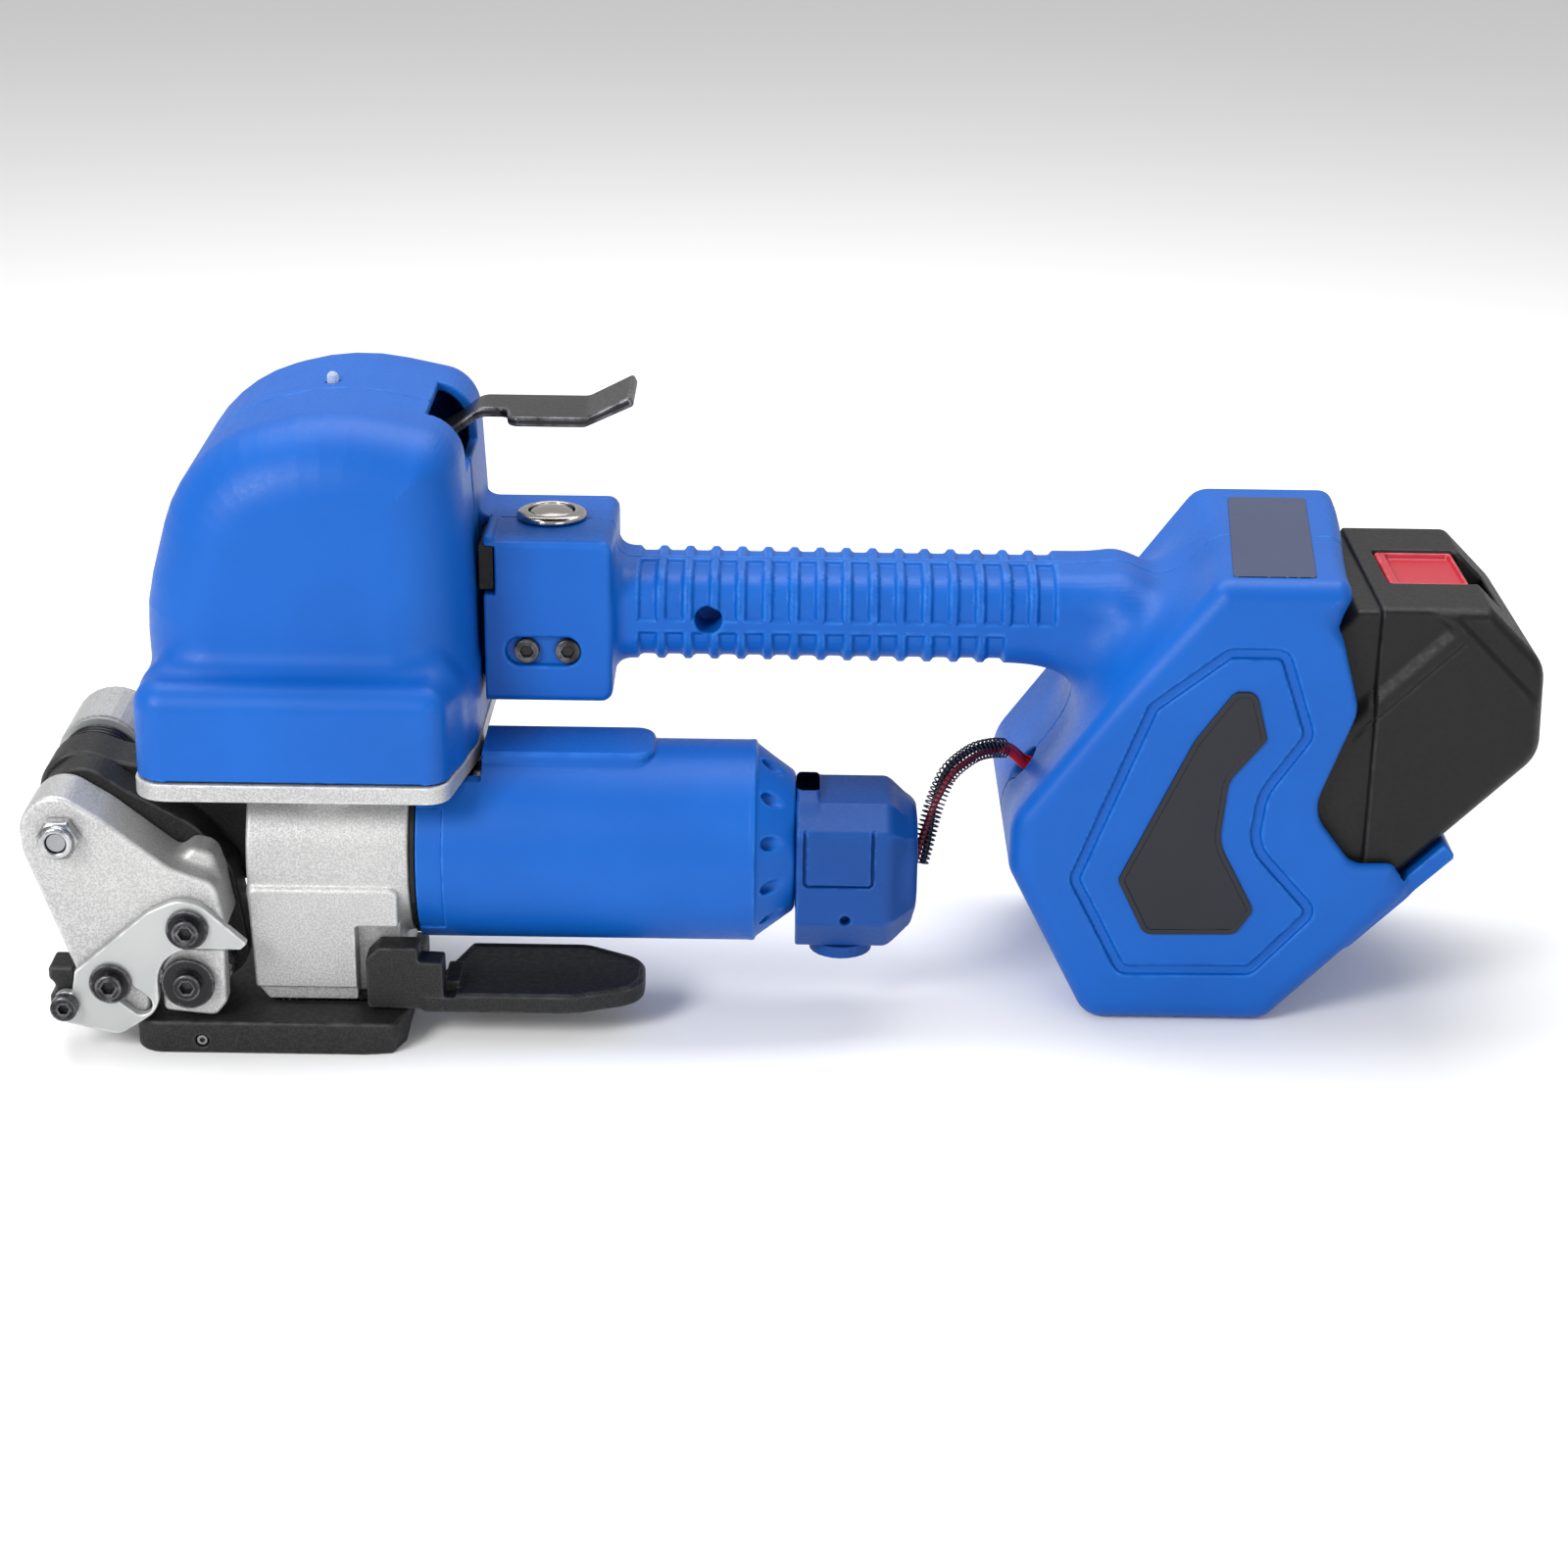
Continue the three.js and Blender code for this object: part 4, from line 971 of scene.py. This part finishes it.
def stop_shape(p):
    body = brick(p, -181.5, -175.2, -61.8, -52, 10.4, 22, 0.8)
    body = carve(body, rod(p, Y, 2.4, -70, -40, -182.4, 16.6, 0.1), k=0.6)
    return carve(body, rod(p, Y, 1.7, -70, -48, -177, 13.4, 0.1), k=0.4)


def hexagon(u, v, across):
    turns = (math.radians(a) for a in (90, 30, 150))
    return np.maximum.reduce([np.abs(u * math.cos(t) + v * math.sin(t)) for t in turns]) - across / 2


def screw_shape(x, z, back, washer, head, across):
    """A socket-head screw facing -Y, on a washer. washer and head are (radius, height)."""

    def shape(p):
        low = back - washer[1]
        body = rod(p, Y, washer[0], low, back, x, z, 0.25)
        body = merge(0.3, body, rod(p, Y, head[0], low - head[1], low, x, z, 0.5))
        hole = np.maximum(hexagon(p[X] - x, p[Z] - z, across), low - head[1] * 0.35 - 20 - p[Y])
        hole = np.maximum(hole, p[Y] - low + head[1] * 0.35)
        return carve(body, hole, k=0.3)

    return shape


def nut_shape(p):
    x, y, z = p
    u, v = x - PIVOT_X, z - PIVOT_Z
    body = slab(hexagon(u, v, 9.6), y, -66, -62.3, 0.3, 0.3)
    body = soft_max(body, np.sqrt(u * u + v * v + (y + 62) ** 2 * 1.2) - 6.4, 0.5)
    body = merge(0.6, body, rod(p, Y, 4.2, -67.4, -65.4, PIVOT_X, PIVOT_Z, 0.9))
    return carve(body, rod(p, Y, 2.6, -70, -60, PIVOT_X, PIVOT_Z, 0.1), k=0.5)


# ---------------------------------------------------------------- levers and button
BRACKET_LINE = section(
    [
        [-103.4, 9.6, 1],
        [-84.2, 9.2, 1],
        [-84.4, 22, 0.6],
        [-90.5, 22.2, 1],
        [-90.5, 26, 0.8],
        [-100.4, 26, 0.8],
        [-103.6, 22.6, 0.8],
    ]
)
PAD_LINE = section(
    [
        [-90, -56.6, 1],
        [-52, -56.6, 14],
        [-34.6, -50, 9],
        [-34.6, -34, 9],
        [-50, -25, 10],
        [-80, -25, 2],
        [-88, -49, 1],
    ]
)


def rocker_shape(p):
    x, y, z = p
    bracket = slab(BRACKET_LINE(x, z), y, -56.6, -49, 0.5, 0.5)
    line = PAD_LINE(x, y)
    pad = slab(line, z, 8.4, 13.2, 0.8, 0.5)
    rim = slab(np.abs(line + 1.0) - 0.5, z, 12, 13.6, 0.1, 0.3)
    pad = carve(merge(0.3, pad, rim), brick(p, -90, -81.5, -62, -50, 12.6, 20, 0.4), k=0.4)
    stop = brick(p, -84.5, -80.5, -52, -40, 12, 15.2, 0.5)
    body = merge(1.0, bracket, merge(0.5, pad, stop))
    return np.maximum(body, -rod(p, Y, 2.3, -55.5, -30, -98, 19.5, 0.1))


LEVER_SIDE = section(
    [[-99, 134.9, 0.4], [-84, 142.4, 8], [-77.5, 147.6, 6], [-50.5, 147.6, 4], [-38.1, 153.4, 0.8]]
    + [[-39.3, 155.9, 0.8], [-50.5, 150.2, 4], [-77.5, 150.2, 6], [-84, 145, 8], [-99, 137.5, 0.4]]
)
PADDLE = section(
    [[-69.4, -12, 3], [-36, -12, 2.5], [-36, 10, 2.5], [-120, 10, 1], [-120, -3.4, 1], [-70.6, -3.4, 2]],
)  # fmt: skip


def lever_shape(p):
    x, y, z = p
    body = slab(LEVER_SIDE(x, z), y, -30, 30, 0.1, 0.1)
    body = soft_max(body, PADDLE(x, y), 0.9)
    body = merge(1.0, body, rod(p, Y, 5, -3.4, 10, -96, 139, 0.4))
    return carve(body, rod(p, Y, 2.3, -20, 20, -96, 139, 0.1), k=0.4)


def bezel_shape(p):
    seat = 121.1
    radius = np.hypot(p[X] - BUTTON_X, p[Y])
    body = slab(radius - 8.9, p[Z], seat, seat + 2.0, 0.4, 0.9)
    body = soft_max(body, 0.5 * radius + p[Z] - seat - 5.6, 0.6)
    body = merge(0.4, body, rod(p, Z, 7.2, seat - 9, seat + 0.5, BUTTON_X, 0, 0.2))
    return carve(body, rod(p, Z, 5.9, seat - 10, seat + 9, BUTTON_X, 0, 0.1), k=0.5)


def button_shape(p):
    x, y, z = p
    body = rod(p, Z, 5.6, 117.1, 124.0, BUTTON_X, 0, 0.3)
    dome = np.sqrt((x - BUTTON_X) ** 2 + y**2 + (z - 108.4) ** 2) - 15.2
    return soft_max(body, dome, 0.6)


def switch_shape(p):
    body = rod(p, Z, 7.2, 97.1, 111.8, BUTTON_X, 0, 0.4)
    return np.minimum(body, brick(p, -77.0, -73.1, -18.6, 4, 107.4, 119.0, 0.3))


# ---------------------------------------------------------------- wires and springs
def smooth_path(points, count):
    """A Catmull-Rom curve through the points, at evenly spaced distances."""
    p = np.array(points, float)
    p = np.vstack([2 * p[0] - p[1], p, 2 * p[-1] - p[-2]])
    dense = []
    for i in range(1, len(p) - 2):
        for t in np.linspace(0, 1, 24, endpoint=False):
            a, b, c, d = p[i - 1 : i + 3]
            square, cube = 2 * a - 5 * b + 4 * c - d, 3 * b - a - 3 * c + d
            dense.append(0.5 * (2 * b + (c - a) * t + square * t * t + cube * t**3))
    dense = np.array(dense + [p[-2]])
    reach = np.r_[0, np.cumsum(np.linalg.norm(np.diff(dense, axis=0), axis=1))]
    want = np.linspace(0, reach[-1], count)
    return np.stack([np.interp(want, reach, dense[:, i]) for i in range(3)], 1)


def frames(path):
    """Two directions square to the path at each of its points, turning as little as possible."""
    along = np.gradient(path, axis=0)
    along /= np.linalg.norm(along, axis=1)[:, None]
    side = np.cross(along[0], (0.3, 1, 0.2))
    first = []
    for t in along:
        side = side - t * (side @ t)
        side /= np.linalg.norm(side)
        first.append(side)
    first = np.array(first)
    return first, np.cross(along, first)


def tube(path, radius, sides=8):
    """Vertices and quads of a round wire along a path, its ends closed by small caps."""
    a, b = frames(path)
    turn = np.linspace(0, 2 * math.pi, sides, endpoint=False)
    ring = a[:, None] * np.cos(turn)[:, None] + b[:, None] * np.sin(turn)[:, None]
    size = np.full(len(path), radius)
    size[[0, -1]] = radius * 0.3
    v = (path[:, None] + ring * size[:, None, None]).reshape(-1, 3)
    quads = []
    for i in range(len(path) - 1):
        for k in range(sides):
            n = (k + 1) % sides
            quads.append((i * sides + k, i * sides + n, (i + 1) * sides + n, (i + 1) * sides + k))
    for start, flip in ((0, True), ((len(path) - 1) * sides, False)):
        for k in range(1, sides // 2):
            cap = [start + k - 1, start + k, start + sides - k - 1, start + (sides - k) % sides]
            quads.append(tuple(cap[::-1] if flip else cap))
    return v, np.array(quads)


def wire(name, paths, radius, body, material, nodes, sides=8):
    """Round wires as one piece."""
    vertices, faces, total = [], [], 0
    for path in paths:
        v, f = tube(np.asarray(path), radius, sides)
        vertices.append(v)
        faces.append(f + total)
        total += len(v)
    made = mesh_object(name, np.vstack(vertices), np.vstack(faces))
    made.data.shade_smooth()
    paint([made], material)
    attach(made, body)
    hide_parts(*nodes)
    return made


def coil_round(path, radius, turns, start=0.0):
    """A helix round a path."""
    a, b = frames(path)
    angle = start + np.linspace(0, 2 * math.pi * turns, len(path))
    return path + radius * (a * np.cos(angle)[:, None] + b * np.sin(angle)[:, None])


def show(name, shape, low, high, body, material, nodes, step=0.6, keep=0.5, matrix=None):
    """A field's skin as a piece that rides on a body and stands for CAD nodes."""
    made = skin(name, shape, low, high, step, keep, matrix)
    paint([made], material)
    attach(made, body)
    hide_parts(*nodes)
    return made


def sleeve_route(side):
    """One of the two sleeves that take the leads through the housing wall."""
    return [
        (55.6, side * 0.7 - 6.9, 62.7),
        (58, side * 1.2 - 5, 61.4),
        (60.4, side * 1.5 - 3, 58.9),
        (63, side * 1.6 - 1, 56.2),
        (69, side * 1.7, 54.6),
    ]


# The motor lead, from the end cap to the housing.
LEAD_ROUTE = [
    (34.6, -27, 38.4),
    (35.6, -25.8, 42),
    (36.9, -24, 47),
    (38.8, -21.4, 53.4),
    (42.2, -17.6, 59.6),
    (48.2, -12.4, 62.8),
    (53.0, -8.8, 63.0),
    (57.0, -5.8, 62.0),
]


def show_all():
    shell = 0.7
    part = 0.5
    small = 0.22
    show(
        "hood_cover", cover_shape, (-160, -61, 70), (-75, -6, 158), "frame", BLUE,
        ["hood_front_cover"], shell, 0.45,
    )  # fmt: skip
    show(
        "rear_moulding", rear_shape, (-160, -8, -1), (170, 46, 158), "frame", BLUE, ["rear_shell"],
        shell, 0.45,
    )  # fmt: skip
    show(
        "front_moulding", front_shape, (-77, -42, -1), (170, 1, 123), "frame", BLUE, ["front_shell"],
        shell, 0.5,
    )  # fmt: skip
    show(
        "top_label", label_shape, (107, -36, 118), (140, 35, 119), "frame", LABEL, ["nameplate"],
        0.25, 0.3,
    )  # fmt: skip
    show(
        "rating_plate", plate_film_shape, (83, -42, 25), (120, -40, 92), "frame", NAMEPLATE,
        ["nameplate"], 0.3, 0.3,
    )  # fmt: skip
    show(
        "motor_barrel", barrel_shape, (-92, -54, 18), (4, -2, 72), "frame", BLUE, ["motor_tube"],
        part, 0.4,
    )  # fmt: skip
    show(
        "barrel_cap", cap_shape, (3, -47, 19), (35, -9, 60), "frame", DARK_BLUE,
        ["motor_end_cap", "end_cap_panel"], part, 0.5,
    )  # fmt: skip
    show(
        "mount_plate", plate_shape, (-159, -61, 65), (-75, 40, 71), "frame", CAST, ["head_plate"],
        part, 0.3,
    )  # fmt: skip
    show(
        "gearbox_casting", gearbox_shape, (-134, -54, 8), (-92, -3, 66), "frame", CAST,
        ["gearbox_housing"], part, 0.5,
    )  # fmt: skip
    show(
        "sole", foot_shape, (-161, -65, 0), (-92, -7, 9), "frame", BLACK_CAST, ["base_foot"],
        part, 0.4,
    )  # fmt: skip
    show(
        "worm_case", worm_case_shape, (-188, -35, 33), (-133, -19, 69), "frame", BLACK_CAST,
        ["worm_housing"], part, 0.5,
    )  # fmt: skip
    show(
        "arm_casting", arm_shape, (-187, -63, 9), (-136, -45, 70), "arm", CAST, ["tension_arm"],
        part, 0.5,
    )  # fmt: skip
    show(
        "gear_cover", gear_case_shape, (-187, -46, 8), (-133, -34, 70), "arm", BLACK_CAST,
        ["arm_gear_case"], part, 0.5,
    )  # fmt: skip
    show(
        "guide_sheet", guide_shape, (-181, -65, 4), (-131, -62, 43), "arm", PLATE,
        ["strap_guide_plate"], small * 1.4, 0.35,
    )  # fmt: skip
    show(
        "presser_block", presser_shape, (-154, -62, 8), (-137, -55, 28), "presser", CAST,
        ["strap_presser"], small * 1.4, 0.5,
    )  # fmt: skip
    show(
        "stop_block", stop_shape, (-182, -62, 10), (-175, -51, 23), "arm", BLACK_CAST, ["guide_stop"],
        small * 1.3, 0.5,
    )  # fmt: skip
    screws = [
        ("upper_screw", "guide_screw_upper", -145.8, 34.4, -65.1, (5.2, 0.9), (3.3, 2.4), 3.0, "arm"),
        ("lower_screw", "guide_screw_lower", -165.5, 19.5, -65.1, (5.2, 0.9), (3.3, 2.4), 3.0, "arm"),
        ("stop_screw", "corner_screw", -177.0, 13.4, -65.1, (3.4, 0.4), (3.3, 2.6), 2.4, "arm"),
        ("axle_screw", "presser_screw", WHEEL_X, WHEEL_Z, -62.6, (6.6, 1.2), (3.5, 2.4), 3.0, "arm"),
        ("block_bolt_1", "block_screw_1", -65.1, 92.0, -19.2, (3.3, 0.4), (3.2, 1.4), 2.8, "frame"),
        ("block_bolt_2", "block_screw_2", -54.8, 92.0, -19.2, (3.3, 0.4), (3.2, 1.4), 2.8, "frame"),
    ]
    for name, node, x, z, back, washer, head, across, body in screws:
        reach = washer[0] + 0.5
        low = (x - reach, back - washer[1] - head[1] - 0.5, z - reach)
        high = (x + reach, back + 0.5, z + reach)
        shape = screw_shape(x, z, back, washer, head, across)
        show(name, shape, low, high, body, BLACK_STEEL, [node], small, 0.5)
    show(
        "lock_nut", nut_shape, (-182, -68, 51), (-170, -62, 64), "frame", STEEL, ["pivot_nut"],
        small, 0.5,
    )  # fmt: skip
    show(
        "squeeze_lever", rocker_shape, (-104, -57, 8), (-34, -24, 27), "rocker_lever", BLACK_CAST,
        ["rocker_lever"], part, 0.5,
    )  # fmt: skip
    show(
        "thumb_lever", lever_shape, (-102, -13, 133), (-35, 11, 158), "weld_lever", BLACK_STEEL,
        ["weld_lever"], part * 0.8, 0.4,
    )  # fmt: skip
    show(
        "bezel_ring", bezel_shape, (-69, -9, 112), (-50, 9, 124), "frame", CHROME, ["button_bezel"],
        small, 0.5,
    )  # fmt: skip
    show(
        "button_dome", button_shape, (-66, -6, 117), (-54, 6, 124), "button", CHROME, ["button_cap"],
        small, 0.5,
    )  # fmt: skip
    show(
        "switch_case", switch_shape, (-78, -19, 97), (-52, 8, 120), "frame", BLACK_PLASTIC,
        ["switch_body"], part, 0.4,
    )  # fmt: skip
    show(
        "battery_pack", battery_shape, (-45, -38, -1), (65, 38, 63), "battery", BLACK_PLASTIC,
        ["battery_case"], shell, 0.4, BATTERY_FRAME,
    )  # fmt: skip
    show(
        "latch_pad", latch_shape, (43, -14, 33), (68, 14, 60), "battery_latch", RED, ["battery_latch"],
        small * 1.5, 0.5, BATTERY_FRAME,
    )  # fmt: skip
    straight = np.linspace((PIVOT_X, -19.2, PIVOT_Z), (PIVOT_X, -11.4, PIVOT_Z), 220)
    wire(
        "arm_spring", [coil_round(straight, 9.2, 4.2)], 0.85, "frame", BLACK_STEEL,
        ["arm_torsion_spring"], 8,
    )  # fmt: skip
    route = smooth_path(LEAD_ROUTE, 1100)
    wire("guard_coil", [coil_round(route, 2.45, 37)], 0.23, "frame", GUARD, ["motor_lead_guard"], 6)
    core = smooth_path(LEAD_ROUTE, 90)
    wire(
        "lead_red", [coil_round(core, 0.95, 0.8)], 0.85, "frame", WIRE_RED, ["motor_lead_guard"],
        8,
    )  # fmt: skip
    wire(
        "lead_black", [coil_round(core, 0.95, 0.8, math.pi)], 0.85, "frame", BLACK_PLASTIC,
        ["motor_lead_guard"], 8,
    )  # fmt: skip
    for k, side in enumerate((-1, 1)):
        sleeve = smooth_path(sleeve_route(side), 24)
        wire(
            f"sleeve_{k + 1}", [sleeve], 1.35, "frame", SLEEVE, [f"lead_sleeve_{k + 1}"],
            10,
        )  # fmt: skip


show_all()

# ---------------------------------------------------------------- carried-over CAD nodes
CARRIED = {
    "status_led": (LENS, 0.0),
    "foot_grub_screw": (STEEL, 0.1),
    "weld_jaw": (BLACK_STEEL, 0.0),
    "strap_anvil": (STEEL, 0.0),
    "barrel_seal": (BLACK_PLASTIC, 0.1),
    "end_cap_plug": (DARK_BLUE, 0.4),
    "tension_motor": (STEEL, 0.3),
    "drive_worm": (STEEL, 0.1),
    "worm_wheel": (BRONZE, 0.0),
    "weld_motor": (STEEL, 0.3),
    "weld_eccentric": (STEEL, 0.2),
    "control_board": (BOARD, 0.1),
    "idler_gear_1": (STEEL, 0.0),
    "idler_gear_2": (STEEL, 0.0),
    "tension_wheel": (STEEL, 0.0),
    "presser_spring": (STEEL, 0.1),
    "pivot_shaft": (STEEL, 0.2),
    "spring_washer": (PLATE, 0.2),
    "spring_cap": (CAST, 0.6),
    "rocker_pin": (STEEL, 0.2),
    "weld_lever_pin": (STEEL, 0.2),
    "battery_terminals": (BRONZE, 0.2),
    "battery_dock": (BLACK_PLASTIC, 0.4),
}

for node, (material, width) in CARRIED.items():
    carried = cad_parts[node]
    paint([carried], material)
    if carried.data.has_custom_normals:
        with bpy.context.temp_override(object=carried, active_object=carried, selected_objects=[carried]):
            bpy.context.view_layer.objects.active = carried
            bpy.ops.mesh.customdata_custom_splitnormals_clear()
    carried.data.shade_smooth()
    if width:
        bevel = carried.modifiers.new("edge", "BEVEL")
        bevel.width = width * MM
        bevel.segments = 2
        bevel.limit_method = "ANGLE"
        bevel.angle_limit = math.radians(34)
        bevel.harden_normals = False
        bevel.use_clamp_overlap = True
    carried.data.set_sharp_from_angle(angle=math.radians(34))

# ---------------------------------------------------------------- floor, lights, camera
def floor():
    mesh = bpy.data.meshes.new("floor")
    size = 4.0
    corners = [(-size, -size, 0), (size, -size, 0), (size, size, 0), (-size, size, 0)]
    mesh.from_pydata(corners, [], [(0, 1, 2, 3)])
    made = bpy.data.objects.new("floor", mesh)
    bpy.context.scene.collection.objects.link(made)
    material = bpy.data.materials.new("floor_white")
    material.use_nodes = True
    n = Nodes(material)
    shader = n.tree.nodes["Principled BSDF"]
    cloud = n.fit(n.noise(0.002, 2.0), 0.3, 0.7)
    n.feed(shader, "Base Color", n.mix(cloud, (0.90, 0.90, 0.90, 1), (0.92, 0.92, 0.92, 1)))
    shader.inputs["Roughness"].default_value = 0.9
    made.data.materials.append(material)


def lamp(name, place, target, size, watts, colour=(1, 1, 1)):
    data = bpy.data.lights.new(name, "AREA")
    data.shape = "RECTANGLE"
    data.size, data.size_y = size
    data.energy = watts
    data.color = colour
    made = bpy.data.objects.new(name, data)
    made.location = place
    made.rotation_euler = (Vector(target) - Vector(place)).to_track_quat("-Z", "Y").to_euler()
    bpy.context.scene.collection.objects.link(made)


def studio():
    world = bpy.data.worlds.new("studio")
    world.use_nodes = True
    background = world.node_tree.nodes["Background"]
    background.inputs["Color"].default_value = (1, 1, 1, 1)
    background.inputs["Strength"].default_value = 0.55
    bpy.context.scene.world = world
    lamp("top_box", (-0.05, 0.3, 0.95), (0, 0, 0.08), (1.1, 0.6), 10)
    lamp("key_left", (-0.6, -0.7, 0.6), (-0.05, 0, 0.08), (0.35, 0.35), 8)
    lamp("front_fill", (0.5, -0.95, 0.3), (0.05, 0, 0.06), (0.5, 0.3), 2.0)


def camera():
    data = bpy.data.cameras.new("camera")
    data.lens = 74.25
    data.sensor_width = 36
    made = bpy.data.objects.new("camera", data)
    place = (np.array([0.0, -785.70, 366.14]) + SHIFT) * MM
    made.matrix_world = (
        Matrix.Translation(place)
        @ Matrix.Rotation(math.radians(68), 4, "X")
        @ Matrix.Rotation(math.radians(0.8), 4, "Z")
    )
    bpy.context.scene.collection.objects.link(made)
    bpy.context.scene.camera = made


floor()
studio()
camera()
bpy.context.scene.view_settings.view_transform = "Standard"
